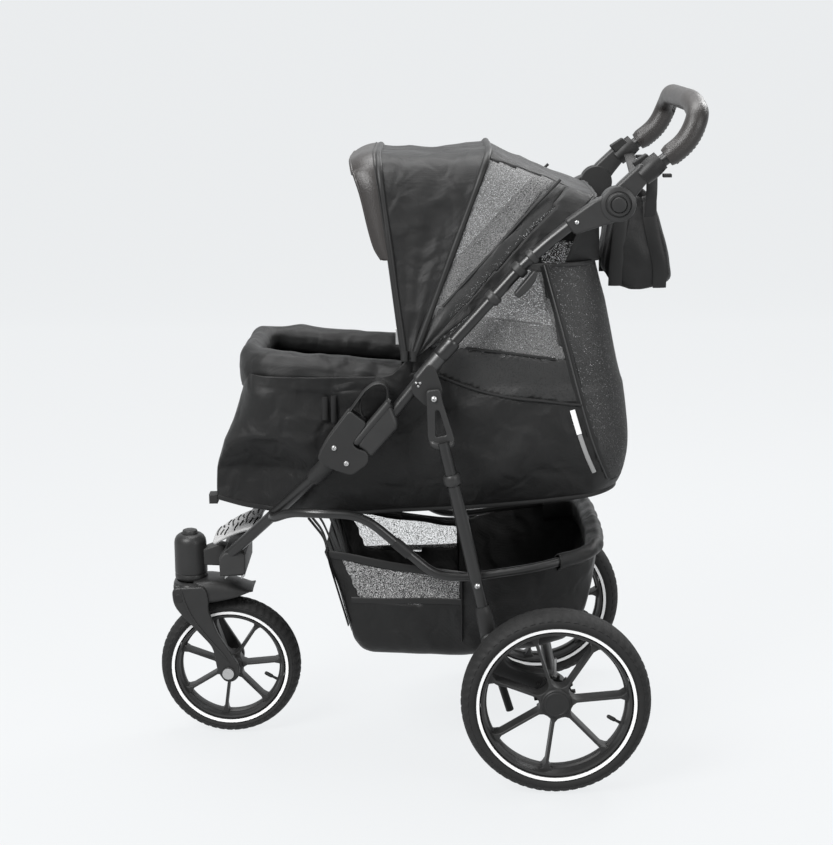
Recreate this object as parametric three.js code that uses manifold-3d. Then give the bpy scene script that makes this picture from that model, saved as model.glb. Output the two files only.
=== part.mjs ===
// A three-wheeled pet stroller: folding tube frame, swivelling front wheel, zipped cabin with a
// rolled-down cover, folding hood, shopping basket and a tilting handle with an organiser bag.
// Millimetres, +Z up, the stroller faces -Y, +X is its left side. The rear axle is at Y = 0 while it
// is built, and the finished group is centred over its own footprint.
import * as THREE from 'three';
import { mergeVertices } from 'three/addons/utils/BufferGeometryUtils.js';
import Module from 'manifold-3d';

const wasm = await Module();
wasm.setup();

// ---- driving dimensions -------------------------------------------------------------------
const touch = 0.3; // gap between pieces that are fastened together
const running = 0.5; // gap between pieces that move past each other

const trackHalf = 267; // middle of a rear tyre from the centre line
const wheelbase = 549; // front axle to rear axle
const rearWheel = { radius: 152.5, width: 54, rimRadius: 125, blades: 7 };
const frontWheel = { radius: 122, width: 48, rimRadius: 98.5, blades: 7 };
const axleRadius = 6;
const hubRadius = 25;
const casterTrail = 64; // steering axis ahead of the front axle
const forkGap = 36; // inner face of a fork arm from the centre line
const forkArm = 13;
const headRadius = 28; // steering head

const fold = { y: -340, z: 545 }; // fold pivot of the frame
const foldBend = 110; // degrees, the fold's full travel
const tubeRadius = 9.5;
const railRadius = 7.5;
const bowRadius = 4;
const legOutside = 47; // rear leg inboard of the tyre's middle
const frameInside = 25; // side tubes inboard of the rear legs
const lowerSpread = 55; // lower tubes at the steering head, from the centre line
const cabinInside = 43; // cabin wall inboard of the side tubes
const clothWall = 4;
const handleTube = 10;
const gripRadius = 16;
const knobRadius = 27.5;
const basketDrop = 151; // basket floor below the leg and rail rivet

// ---- places that follow from them ----------------------------------------------------------
const legHalf = trackHalf - legOutside;
const frameHalf = legHalf - frameInside;
const cabinHalf = frameHalf - cabinInside;
const axleZ = rearWheel.radius;
const frontAxle = { y: -wheelbase, z: frontWheel.radius };
const steerY = frontAxle.y - casterTrail;
const headBottom = frontAxle.z + 157;
const headTop = headBottom + 80;
const lowerFoot = { y: steerY + headRadius + 44, z: headBottom + 56 };
const railStart = 0.414; // share of the lower tube where the basket rail is riveted on
const rail = {
  x: lowerSpread + railStart * (frameHalf - lowerSpread),
  y: lowerFoot.y + railStart * (fold.y - lowerFoot.y),
  z: lowerFoot.z + railStart * (fold.z - lowerFoot.z),
};
const legTop = { y: fold.y + 149, z: fold.z + 92 }; // rear leg's pivot on the side tube
const hoodPivot = { y: fold.y + 110, z: fold.z + 145 };
const knob = { y: fold.y + 436, z: fold.z + 393 };
const legFoot = { y: -92, z: axleZ + 38 }; // lower end of the leg tube, inside its foot
const rivetShare = 0.705; // share of the leg where the basket rail is riveted on
const legRivet = {
  y: legTop.y + rivetShare * (legFoot.y - legTop.y) - 3,
  z: legTop.z + rivetShare * (legFoot.z - legTop.z) + 10,
};
const basketFloor = legRivet.z - basketDrop;

// ---- making solids --------------------------------------------------------------------------
const V = (x, y, z) => new THREE.Vector3(x, y, z);

function closedBody(geometry) {
  const bare = geometry.clone();
  for (const name of Object.keys(bare.attributes)) if (name !== 'position') bare.deleteAttribute(name);
  const merged = mergeVertices(bare, 1e-3);
  const p = merged.attributes.position;
  const index = [];
  let volume = 0;
  const a = V(), b = V(), c = V();
  for (let i = 0; i < merged.index.count; i += 3) {
    const t = [0, 1, 2].map((k) => merged.index.getX(i + k));
    if (t[0] === t[1] || t[1] === t[2] || t[0] === t[2]) continue;
    index.push(...t);
    a.fromBufferAttribute(p, t[0]);
    b.fromBufferAttribute(p, t[1]);
    c.fromBufferAttribute(p, t[2]);
    volume += a.dot(b.cross(c));
  }
  if (volume < 0) index.reverse();
  merged.setIndex(index);
  return merged;
}

function solid(geometry) {
  const body = closedBody(geometry);
  const mesh = new wasm.Mesh({
    numProp: 3,
    vertProperties: new Float32Array(body.attributes.position.array),
    triVerts: new Uint32Array(body.index.array),
  });
  return new wasm.Manifold(mesh);
}

function geometryOf(body) {
  const mesh = body.getMesh();
  const geometry = new THREE.BufferGeometry();
  geometry.setAttribute('position', new THREE.BufferAttribute(new Float32Array(mesh.vertProperties), 3));
  geometry.setIndex([...mesh.triVerts]);
  return geometry;
}

const join = (first, ...rest) => rest.reduce((sum, next) => sum.add(next), first);
const cut = (first, ...rest) => rest.reduce((left, next) => left.subtract(next), first);

function mirrored(geometry) {
  const copy = geometry.clone().scale(-1, 1, 1);
  const index = copy.index ? [...copy.index.array] : [...Array(copy.attributes.position.count).keys()];
  copy.setIndex(index.reverse());
  return copy;
}

// An outline in the side view, points [y, z], with every corner rounded off.
function outline(points, round = 0, steps = 2) {
  const shape = new THREE.Shape();
  const n = points.length;
  points.forEach((point, i) => {
    const corner = new THREE.Vector2(...point);
    if (round <= 0) {
      if (i) shape.lineTo(corner.x, corner.y);
      else shape.moveTo(corner.x, corner.y);
      return;
    }
    const before = new THREE.Vector2(...points[(i + n - 1) % n]).sub(corner);
    const after = new THREE.Vector2(...points[(i + 1) % n]).sub(corner);
    const reach = Math.min(round, before.length() * 0.45, after.length() * 0.45);
    const from = before.setLength(reach).add(corner);
    const to = after.setLength(reach).add(corner);
    const curve = new THREE.QuadraticBezierCurve(from, corner, to);
    curve.getPoints(steps).forEach((q, k) => {
      if (i === 0 && k === 0) shape.moveTo(q.x, q.y);
      else shape.lineTo(q.x, q.y);
    });
  });
  shape.closePath();
  return shape;
}

const alongX = new THREE.Matrix4().makeBasis(V(0, 1, 0), V(0, 0, 1), V(1, 0, 0));
const alongY = new THREE.Matrix4().makeBasis(V(-1, 0, 0), V(0, 0, 1), V(0, 1, 0));

// A side-view outline given thickness from x0 to x1.
function plate(shape, x0, x1) {
  const geometry = new THREE.ExtrudeGeometry(shape, { depth: x1 - x0, bevelEnabled: false, curveSegments: 6 });
  return geometry.applyMatrix4(alongX).translate(x0, 0, 0);
}

// A front-view outline, points [x, z], given length from y0 to y1.
function beam(shape, y0, y1) {
  const geometry = new THREE.ExtrudeGeometry(shape, { depth: y1 - y0, bevelEnabled: false, curveSegments: 6 });
  return geometry.applyMatrix4(alongY).translate(0, y0, 0);
}

function rodBetween(a, b, radius, sides = 12) {
  const along = b.clone().sub(a);
  const geometry = new THREE.CylinderGeometry(radius, radius, along.length(), sides);
  const turn = new THREE.Quaternion().setFromUnitVectors(V(0, 1, 0), along.clone().normalize());
  return geometry.applyQuaternion(turn).translate(...a.clone().add(b).multiplyScalar(0.5).toArray());
}

const rodX = (radius, x0, x1, y, z, sides = 14) => rodBetween(V(x0, y, z), V(x1, y, z), radius, sides);

// A profile of [radius, place along the axis] turned about X through (y, z).
function turned(profile, y, z, segments = 36) {
  const points = profile.map(([r, along]) => new THREE.Vector2(r, along));
  const geometry = new THREE.LatheGeometry(points, segments);
  return geometry.rotateY(Math.PI / segments).rotateZ(-Math.PI / 2).translate(0, y, z);
}

// A path of straight runs whose corners are bent to about the given reach.
function bentPath(points, reach) {
  const path = new THREE.CurvePath();
  let from = points[0].clone();
  for (let i = 1; i < points.length - 1; i += 1) {
    const corner = points[i];
    const back = points[i - 1].clone().sub(corner);
    const on = points[i + 1].clone().sub(corner);
    const r = Math.min(reach, back.length() * 0.48, on.length() * 0.48);
    const bendStart = corner.clone().add(back.setLength(r));
    const bendEnd = corner.clone().add(on.setLength(r));
    path.add(new THREE.LineCurve3(from, bendStart));
    path.add(new THREE.QuadraticBezierCurve3(bendStart, corner.clone(), bendEnd));
    from = bendEnd;
  }
  path.add(new THREE.LineCurve3(from, points[points.length - 1].clone()));
  return path;
}

function bentTube(points, reach, radius, sides = 8, spacing = 22) {
  const path = points.length > 2 ? bentPath(points, reach) : new THREE.LineCurve3(points[0], points[1]);
  const steps = points.length > 2 ? Math.ceil(path.getLength() / spacing) : 1;
  const round = new THREE.Shape(
    Array.from({ length: sides }, (_, i) => {
      const angle = (2 * Math.PI * i) / sides;
      return new THREE.Vector2(radius * Math.cos(angle), radius * Math.sin(angle));
    }),
  );
  return new THREE.ExtrudeGeometry(round, { steps, bevelEnabled: false, extrudePath: path });
}

// A sheet of even thickness over a grid of points, grid[row][column].
function skin(grid, thickness) {
  const rows = grid.length;
  const columns = grid[0].length;
  const normals = grid.map((line, i) =>
    line.map((_, j) => {
      const down = grid[Math.min(i + 1, rows - 1)][j].clone().sub(grid[Math.max(i - 1, 0)][j]);
      const across = line[Math.min(j + 1, columns - 1)].clone().sub(line[Math.max(j - 1, 0)]);
      return down.cross(across).normalize();
    }),
  );
  const vertices = [];
  for (const side of [0.5, -0.5]) {
    grid.forEach((line, i) =>
      line.forEach((point, j) => {
        vertices.push(...point.clone().addScaledVector(normals[i][j], side * thickness).toArray());
      }),
    );
  }
  const under = rows * columns;
  const at = (i, j) => i * columns + j;
  const index = [];
  const quad = (a, b, c, d) => index.push(a, b, c, a, c, d);
  for (let i = 0; i < rows - 1; i += 1) {
    for (let j = 0; j < columns - 1; j += 1) {
      quad(at(i, j), at(i + 1, j), at(i + 1, j + 1), at(i, j + 1));
      quad(under + at(i, j), under + at(i, j + 1), under + at(i + 1, j + 1), under + at(i + 1, j));
    }
  }
  const edge = [];
  for (let j = 0; j < columns - 1; j += 1) edge.push(at(0, j));
  for (let i = 0; i < rows - 1; i += 1) edge.push(at(i, columns - 1));
  for (let j = columns - 1; j > 0; j -= 1) edge.push(at(rows - 1, j));
  for (let i = rows - 1; i > 0; i -= 1) edge.push(at(i, 0));
  edge.forEach((a, k) => {
    const b = edge[(k + 1) % edge.length];
    quad(a, b, under + b, under + a);
  });
  const geometry = new THREE.BufferGeometry();
  geometry.setAttribute('position', new THREE.Float32BufferAttribute(vertices, 3));
  geometry.setIndex(index);
  return geometry;
}

// ---- finishes -----------------------------------------------------------------------------
const finish = (color, roughness, metalness = 0) =>
  new THREE.MeshStandardMaterial({ color, roughness, metalness });
const frameMetal = finish(0x26272a, 0.42, 0.6);
const bareMetal = finish(0x8d8f93, 0.3, 0.9);
const hardPlastic = finish(0x232427, 0.5);
const greyPlastic = finish(0x8f9194, 0.6);
const rimPlastic = finish(0x2b2c2f, 0.45);
const tyreRubber = finish(0x26282b, 0.8);
const blackCloth = finish(0x17181b, 0.9);
const meshCloth = finish(0x9b9a97, 0.9);
const gripLeather = finish(0x2a2523, 0.6);
const padding = finish(0x1d1e22, 0.95);

const stroller = new THREE.Group();
stroller.name = 'pet_stroller';

function add(name, geometry, material) {
  const mesh = new THREE.Mesh(closedBody(geometry), material);
  mesh.name = name;
  stroller.add(mesh);
  return mesh;
}

function addPair(name, leftGeometry, material) {
  add(`${name}_left`, leftGeometry, material);
  add(`${name}_right`, mirrored(leftGeometry), material);
}

// ---- wheels -------------------------------------------------------------------------------
// A tyre with a narrow flat crown, so that the wheel stands on a real facet of its tread.
function tyre(wheel, y, z) {
  const half = wheel.width / 2;
  const facets = 30;
  const outer = wheel.radius / Math.cos(Math.PI / facets);
  const inner = wheel.rimRadius;
  const profile = [
    [inner, -half + 7], [inner + 8, -half + 1], [outer - 11, -half], [outer - 4, -half + 9],
    [outer, -8], [outer, 8], [outer - 4, half - 9], [outer - 11, half], [inner + 8, half - 1],
    [inner, half - 7], [inner, -half + 7],
  ];
  return turned(profile, y, z, facets);
}

function rim(wheel, y, z, hubHalf, firstBlade) {
  const outer = wheel.rimRadius - touch;
  const half = wheel.width / 2 - 4;
  const channel = [
    [outer, -half], [outer, half], [outer - 5, half], [outer - 12, half - 8],
    [outer - 12, -half + 8], [outer - 5, -half], [outer, -half],
  ];
  const blade = new THREE.BoxGeometry(half * 1.3, outer - 8 - hubRadius * 0.5, 4.4);
  blade.translate(0, (outer - 8 + hubRadius * 0.5) / 2, 0);
  const hubShape = [[0, -hubHalf], [hubRadius, -hubHalf], [hubRadius, hubHalf], [0, hubHalf]];
  const pieces = [solid(turned(hubShape, 0, 0, 16))];
  for (let i = 0; i < wheel.blades; i += 1) {
    const angle = firstBlade + (2 * Math.PI * i) / wheel.blades;
    pieces.push(solid(blade.clone().rotateX(angle)));
  }
  const body = join(solid(turned(channel, 0, 0, 30)), ...pieces);
  const bored = cut(body, solid(rodX(axleRadius + running, -hubHalf - 1, hubHalf + 1, 0, 0, 14)));
  return geometryOf(bored).translate(0, y, z);
}

const rearHubHalf = 19;
const frontHubHalf = 22;
const firstBlade = THREE.MathUtils.degToRad(5);
const hubCap = [[0, 0], [hubRadius - 3, 0], [hubRadius - 3, 4], [hubRadius - 6, 6], [0, 7]];

addPair('rear_tyre', tyre(rearWheel, 0, axleZ).translate(trackHalf, 0, 0), tyreRubber);
addPair('rear_rim', rim(rearWheel, 0, axleZ, rearHubHalf, firstBlade).translate(trackHalf, 0, 0), rimPlastic);
addPair(
  'hub_cap',
  turned(hubCap, 0, axleZ, 16).translate(trackHalf + rearHubHalf + touch, 0, 0),
  hardPlastic,
);
add('front_tyre', tyre(frontWheel, frontAxle.y, frontAxle.z), tyreRubber);
add('front_rim', rim(frontWheel, frontAxle.y, frontAxle.z, frontHubHalf, firstBlade), rimPlastic);

// Brake ring: teeth on the inner end of each rear hub, with a gap at every quarter turn.
const ringThick = 8.5;
const ringTeeth = 16;
const ringTip = 34;
const ringRoot = 28;
function brakeRing() {
  const shape = new THREE.Shape();
  const pitch = (2 * Math.PI) / ringTeeth;
  for (let i = 0; i < ringTeeth; i += 1) {
    const middle = (i + 0.5) * pitch;
    const corners = [[-0.5, ringRoot], [-0.2, ringRoot], [-0.12, ringTip], [0.12, ringTip], [0.2, ringRoot]];
    corners.forEach(([share, r], k) => {
      const angle = middle + share * pitch;
      if (i === 0 && k === 0) shape.moveTo(r * Math.cos(angle), r * Math.sin(angle));
      else shape.lineTo(r * Math.cos(angle), r * Math.sin(angle));
    });
  }
  shape.closePath();
  const bore = new THREE.Path();
  bore.absarc(0, 0, axleRadius + 3, 0, Math.PI * 2, true);
  shape.holes.push(bore);
  const x1 = trackHalf - rearHubHalf - touch;
  return plate(shape, x1 - ringThick, x1).translate(0, 0, axleZ);
}
addPair('brake_ring', brakeRing(), hardPlastic);

// ---- rear axle, feet, legs and brake ------------------------------------------------------
const footOuter = trackHalf - rearHubHalf - touch - ringThick - running;
const footInner = legHalf - tubeRadius - 5;
const axle = join(
  solid(rodX(axleRadius, -(trackHalf + rearHubHalf), trackHalf + rearHubHalf, 0, axleZ, 18)),
  solid(rodX(tubeRadius, -(footInner - touch), footInner - touch, 0, axleZ, 18)),
);
add('rear_axle', geometryOf(axle), frameMetal);

const legDirection = V(0, legFoot.y - legRivet.y, legFoot.z - legRivet.z).normalize();
const footSide = [
  [legFoot.y - 26, legFoot.z + 62], [legFoot.y - 3, legFoot.z + 66], [legFoot.y + 20, axleZ + 44],
  [-6, axleZ + 27], [18, axleZ + 15], [23, axleZ - 6], [8, axleZ - 21], [-27, axleZ - 7],
  [legFoot.y - 4, axleZ + 17], [legFoot.y - 16, axleZ + 28],
];
const legEnd = V(legHalf, legFoot.y, legFoot.z);
const legBore = rodBetween(
  legEnd.clone().addScaledVector(legDirection, 3),
  legEnd.clone().addScaledVector(legDirection, -160),
  tubeRadius + 2 * touch,
);
const foot = cut(
  solid(plate(outline(footSide, 9), footInner, footOuter)),
  solid(rodX(axleRadius + touch, footInner - 1, footOuter + 1, 0, axleZ, 18)),
  solid(legBore),
);
addPair('leg_foot', geometryOf(foot), hardPlastic);

// Leg: a flat link with a long slot at the top, then the tube that runs down into the foot.
const linkThick = 8;
const linkInner = legHalf - 9;
const linkSide = [
  [legTop.y - 10, legTop.z + 12], [legTop.y + 8, legTop.z + 12], [legTop.y + 13, legTop.z - 4],
  [legTop.y + 32, legTop.z - 66], [legTop.y + 18, legTop.z - 80], [legTop.y - 5, legTop.z - 76],
  [legTop.y - 9, legTop.z - 60],
];
const linkSlot = [
  [legTop.y + 3, legTop.z - 20], [legTop.y + 19, legTop.z - 58], [legTop.y + 2, legTop.z - 60],
];
const linkTubeTop = V(legHalf, legTop.y + 14, legTop.z - 70);
const legUpper = V(legHalf, legRivet.y, legRivet.z);
const collarAt = (share) => linkTubeTop.clone().lerp(legUpper, share);
const leg = cut(
  join(
    solid(plate(outline(linkSide, 7), linkInner, linkInner + linkThick)),
    solid(bentTube([linkTubeTop, legUpper, legEnd], 30, tubeRadius, 10, 60)),
    solid(rodBetween(collarAt(0.2), collarAt(0.33), tubeRadius + 4, 16)), // clamp collar
    solid(rodX(tubeRadius, legHalf - 16, legHalf, legRivet.y, legRivet.z, 16)),
  ),
  solid(plate(outline(linkSlot, 4), linkInner - 1, linkInner + linkThick + 1)),
  solid(rodX(5 + running, linkInner - 1, linkInner + linkThick + 1, legTop.y, legTop.z, 16)),
);
addPair('rear_leg', geometryOf(leg), frameMetal);

// Foot brake: a cross bar with a finger at each end, and a pin at each wheel that it pushes down.
const brakePivot = { y: legFoot.y + 8, z: axleZ + 1 };
const brakeReach = footInner - running - 3;
const fingerRadius = 6.5;
const finger = (x) =>
  rodBetween(V(x, brakePivot.y, brakePivot.z), V(x, brakePivot.y + 14, brakePivot.z - 46), fingerRadius, 12);
const brakeBar = join(
  solid(rodX(4, -brakeReach, brakeReach, brakePivot.y, brakePivot.z, 12)),
  solid(finger(brakeReach - 8)),
  solid(finger(8 - brakeReach)),
);
add('brake_pedal', geometryOf(brakeBar), hardPlastic);
const pinX = trackHalf - rearHubHalf - touch - ringThick / 2;
const pinBottom = axleZ + ringTip + 1;
const brakePin = join(
  solid(rodBetween(V(pinX, 0, pinBottom), V(pinX, 0, pinBottom + 27), 2.2, 10)),
  solid(rodBetween(V(pinX, 0, pinBottom + 20), V(pinX, 0, pinBottom + 27), 3.2, 10)),
);
addPair('brake_pin', geometryOf(brakePin), bareMetal);

// ---- front fork, wheel axle and mudguard ----------------------------------------------------
const forkSide = [
  [steerY - 29, headBottom - 3], [steerY + 29, headBottom - 3], [steerY + 31, headBottom - 45],
  [steerY + 47, headBottom - 88], [frontAxle.y + 14, frontAxle.z + 25], [frontAxle.y + 18, frontAxle.z - 4],
  [frontAxle.y + 4, frontAxle.z - 18], [frontAxle.y - 14, frontAxle.z - 12], [steerY + 38, headBottom - 112],
  [steerY - 12, headBottom - 56], [steerY - 31, headBottom - 30],
];
const forkOutline = outline(forkSide, 14);
const forkPlate = plate(forkOutline, forkGap, forkGap + forkArm);
const crownThick = 14;
const crown = plate(
  outline([
    [steerY - 29, headBottom - 3], [steerY + 29, headBottom - 3],
    [steerY + 29, headBottom - 3 - crownThick], [steerY - 29, headBottom - 3 - crownThick],
  ], 4),
  -forkGap - 2,
  forkGap + 2,
);
const steerPin = 8;
const fork = cut(
  join(
    solid(forkPlate),
    solid(mirrored(closedBody(forkPlate))),
    solid(crown),
    solid(rodBetween(V(0, steerY, headBottom - 5), V(0, steerY, headBottom + 52), steerPin, 18)),
  ),
  solid(rodX(axleRadius + touch, -forkGap - forkArm - 1, forkGap + forkArm + 1, frontAxle.y, frontAxle.z, 18)),
);
add('fork', geometryOf(fork), hardPlastic);

const nutRadius = 10;
const forkOuter = forkGap + forkArm + touch;
const frontBolt = join(
  solid(rodX(axleRadius, -forkOuter - 2, forkOuter + 2, frontAxle.y, frontAxle.z, 18)),
  solid(rodX(nutRadius, forkOuter, forkOuter + 7, frontAxle.y, frontAxle.z, 12)),
  solid(rodX(nutRadius, -forkOuter - 7, -forkOuter, frontAxle.y, frontAxle.z, 12)),
);
add('front_axle', geometryOf(frontBolt), bareMetal);

// Mudguard: a curved blade from the crown back over the tyre.
const guardRadius = frontWheel.radius + 23;
const guardGrid = [];
for (let i = 0; i <= 6; i += 1) {
  const angle = THREE.MathUtils.degToRad(100.5 - i * 4.6);
  const line = [];
  for (let j = -3; j <= 3; j += 1) {
    const drop = 0.9 * j * j;
    const r = guardRadius - drop;
    line.push(V(j * 10, frontAxle.y + r * Math.cos(angle), frontAxle.z + r * Math.sin(angle)));
  }
  guardGrid.push(line);
}
add('mudguard', skin(guardGrid, 3), hardPlastic);

// ---- steering head, its lock button and the front casting -----------------------------------
function turnedUp(profile, x, y, segments = 18) {
  const points = profile.map(([r, z]) => new THREE.Vector2(r, z));
  return new THREE.LatheGeometry(points, segments).rotateX(Math.PI / 2).translate(x, y, 0);
}
const buttonRadius = 13;
const headProfile = [
  [steerPin + running, headBottom], [headRadius - 2, headBottom], [headRadius, headBottom + 4],
  [headRadius, headTop - 16], [headRadius - 4, headTop - 5], [headRadius - 11, headTop],
  [buttonRadius + running, headTop], [buttonRadius + running, headTop - 9], [0, headTop - 9],
  [0, headTop - 22], [steerPin + running, headTop - 22], [steerPin + running, headBottom],
];
add('steering_head', turnedUp(headProfile, 0, steerY), hardPlastic);
const lockTravel = 4;
add(
  'swivel_lock_button',
  turnedUp([
    [0, headTop - 9 + lockTravel + running], [buttonRadius, headTop - 9 + lockTravel + running],
    [buttonRadius, headTop + 3], [buttonRadius - 4, headTop + 6], [0, headTop + 7],
  ], 0, steerY),
  hardPlastic,
);

const lowerTop = V(frameHalf, fold.y, fold.z);
const lowerBottom = V(lowerSpread, lowerFoot.y, lowerFoot.z);
const lowerAlong = lowerTop.clone().sub(lowerBottom).normalize();
const castingSide = [
  [steerY + headRadius + 1, lowerFoot.z - 14], [steerY + headRadius + 1, lowerFoot.z + 3],
  [lowerFoot.y - 14, lowerFoot.z + 8], [lowerFoot.y + 16, lowerFoot.z + 6],
  [lowerFoot.y + 40, lowerFoot.z - 4], [lowerFoot.y + 40, lowerFoot.z - 32],
  [lowerFoot.y - 10, lowerFoot.z - 36], [steerY + headRadius + 1, lowerFoot.z - 28],
];
const tubeHole = (side) => solid(rodBetween(
  V(side * lowerBottom.x, lowerBottom.y, lowerBottom.z).addScaledVector(
    V(side * lowerAlong.x, lowerAlong.y, lowerAlong.z), -touch),
  V(side * lowerTop.x, lowerTop.y, lowerTop.z),
  tubeRadius + touch,
));
const castingHalf = lowerSpread + 12;
const neckHalf = 15;
const castingFront = lowerFoot.y - 14;
const casting = cut(
  join(
    solid(plate(outline(castingSide, 6), -neckHalf, neckHalf)),
    solid(plate(
      outline([
        [castingFront, lowerFoot.z + 8], [lowerFoot.y + 16, lowerFoot.z + 6], [lowerFoot.y + 26, lowerFoot.z - 4],
        [lowerFoot.y + 26, lowerFoot.z - 30], [castingFront, lowerFoot.z - 32],
      ], 6),
      -castingHalf,
      castingHalf,
    )),
  ),
  tubeHole(1),
  tubeHole(-1),
  solid(turnedUp([
    [0, headBottom - 9], [headRadius + touch, headBottom - 9], [headRadius + touch, headTop + 9], [0, headTop + 9],
  ], 0, steerY)),
);
add('front_casting', geometryOf(casting), hardPlastic);

// Ribbed step plate between the lower tubes.
const upSlope = V(0, lowerAlong.y, lowerAlong.z).normalize();
const stepThick = 5;
const stepFront = V(lowerSpread - 11, lowerFoot.y - 26, lowerFoot.z + 13);
const stepBack = V(lowerSpread + 9, lowerFoot.y + 54, lowerFoot.z + 48);
const stepAlong = stepBack.clone().sub(stepFront).setX(0).normalize();
const stepUp = V(0, -stepAlong.z, stepAlong.y);
const stepRow = (share) => {
  const edge = stepFront.clone().lerp(stepBack, share);
  return [V(-edge.x, edge.y, edge.z), edge];
};
const ribs = [];
for (let k = 0; k < 7; k += 1) {
  const [left, right] = stepRow(0.1 + k * 0.13).map((q) => q.addScaledVector(stepUp, 2.6));
  ribs.push(solid(rodBetween(left.lerp(right, 0.06), right.clone().lerp(left, 0.06), 2.2, 5)));
}
const stepPlate = join(solid(skin([stepRow(0), stepRow(1)], stepThick)), ...ribs);
add('step_plate', geometryOf(stepPlate), greyPlastic);

// ---- fold knuckles --------------------------------------------------------------------------
// The lower half is a clevis on the lower tube, the upper half a tongue that turns in it.
const knuckleHalf = 17;
const tongueHalf = 8;
const clevisReach = 52;
const upAxis = V(0, Math.cos(THREE.MathUtils.degToRad(47)), Math.sin(THREE.MathUtils.degToRad(47)));
const sideAxis = V(0, -upAxis.z, upAxis.y);
// a place in the knuckle: s along the side tube from the pivot, t across it, up and forward
const knucklePoint = (s, t) => [
  fold.y + upAxis.y * s + sideAxis.y * t, fold.z + upAxis.z * s + sideAxis.z * t,
];
const knuckleSide = [
  [-27, 25], [20, 34], [66, 44], [122, 44], [137, 34], [136, 4], [110, -30], [98, -38], [28, -38],
  [-16, -39], [-32, -18], [-34, 4],
].map(([s, t]) => knucklePoint(s, t));
const x0 = frameHalf - knuckleHalf;
const x1 = frameHalf + knuckleHalf;
const knuckleBlock = solid(plate(outline(knuckleSide, 12), x0, x1));
const pivotRadius = 6;

// the clevis is open towards every place that the tongue sweeps through
const lowerSlope = V(0, -upSlope.y, -upSlope.z);
const webStart = 33;
const slotSide = [];
const slotCross = V(0, -lowerSlope.z, lowerSlope.y);
for (const [along, across] of [[webStart, -90], [webStart, 90], [-90, 90], [-90, -90]]) {
  slotSide.push([
    fold.y + lowerSlope.y * along + slotCross.y * across,
    fold.z + lowerSlope.z * along + slotCross.z * across,
  ]);
}
const clevisDisc = solid(rodX(clevisReach, x0 - 1, x1 + 1, fold.y, fold.z, 28));
const lowerEnd = lowerTop.clone().addScaledVector(lowerAlong, -webStart - 6);
const socketEnd = lowerTop.clone().addScaledVector(lowerAlong, -88);
const lowerTube = rodBetween(lowerBottom, lowerEnd, tubeRadius);
const clevis = cut(
  join(
    knuckleBlock.intersect(clevisDisc),
    solid(rodBetween(lowerTop.clone().addScaledVector(lowerAlong, -webStart - 3), socketEnd, tubeRadius + 5)),
  ),
  solid(plate(outline(slotSide), frameHalf - tongueHalf - running, frameHalf + tongueHalf + running)),
  solid(rodX(pivotRadius + touch, x0 - 1, x1 + 1, fold.y, fold.z, 18)),
  solid(rodBetween(lowerEnd.clone().addScaledVector(lowerAlong, touch), lowerBottom, tubeRadius + touch)),
);
addPair('fold_clevis', geometryOf(clevis), hardPlastic);
addPair('lower_tube', lowerTube, frameMetal);

const boltHead = 9;
const foldBolt = join(
  solid(rodX(pivotRadius, x0 - 4, x1 + 4, fold.y, fold.z, 18)),
  solid(rodX(boltHead, x1 + touch, x1 + 4, fold.y, fold.z, 12)),
  solid(rodX(boltHead, x0 - 4, x0 - touch, fold.y, fold.z, 12)),
);
addPair('fold_bolt', geometryOf(foldBolt), bareMetal);

// side tube: from the knuckle up to the handle joint
const sidePath = [
  V(frameHalf, ...knucklePoint(66, -20)),
  V(frameHalf, fold.y + 150, fold.z + 146),
  V(frameHalf, fold.y + 303, fold.z + 314),
  V(frameHalf, knob.y - 62, knob.z - 23),
];
const sideCurve = bentPath(sidePath, 45);
const sideCollars = [[0.37, 36], [0.605, 15], [0.735, 17], [0.8, 17]]; // share of the tube, length
const collarBodies = sideCollars.map(([share, long]) => {
  const middle = sideCurve.getPointAt(share);
  const along = sideCurve.getTangentAt(share);
  const end = (k) => middle.clone().addScaledVector(along, k * long);
  return solid(rodBetween(end(-0.5), end(0.5), tubeRadius + 4.5, 12));
});
const sideTube = join(solid(bentTube(sidePath, 45, tubeRadius, 8, 45)), ...collarBodies);
addPair('side_tube', geometryOf(sideTube), frameMetal);
const tubeStart = sidePath[0];
const tubeAlong = sidePath[1].clone().sub(sidePath[0]).normalize();

const loopHole = [[70, 9], [64, 20], [72, 34], [118, 34], [127, 20], [104, 2]]
  .map(([s, t]) => knucklePoint(s, t));
const neckSide = [[0, -13], [70, -13], [70, 13], [0, 13]].map(([s, t]) => knucklePoint(s, t));
const tongueX = [frameHalf - tongueHalf, frameHalf + tongueHalf];
const tongue = cut(
  join(
    cut(knuckleBlock, solid(rodX(clevisReach + 1.5, x0 - 1, x1 + 1, fold.y, fold.z, 28))),
    solid(rodX(30, ...tongueX, fold.y, fold.z, 22)),
    solid(plate(outline(neckSide), ...tongueX)),
    solid(rodBetween(
      tubeStart.clone().addScaledVector(tubeAlong, 20),
      tubeStart.clone().addScaledVector(tubeAlong, 66),
      tubeRadius + 5,
      16,
    )),
  ),
  solid(rodX(pivotRadius + running, x0, x1, fold.y, fold.z, 18)),
  solid(plate(outline(loopHole, 8), x0 - 1, x1 + 1)),
  solid(rodBetween(
    tubeStart.clone().addScaledVector(tubeAlong, -touch),
    tubeStart.clone().addScaledVector(tubeAlong, 120),
    tubeRadius + touch,
    16,
  )),
);
addPair('fold_tongue', geometryOf(tongue), hardPlastic);

// Release trigger: a bar across the finger loop that is squeezed towards the side tube's top.
const triggerSide = [[78, 33.4], [84, 33.4], [88, 8], [82, 8]].map(([s, t]) => knucklePoint(s, t));
addPair(
  'fold_trigger',
  plate(outline(triggerSide, 2), frameHalf - 9, frameHalf + 9),
  hardPlastic,
);

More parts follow.
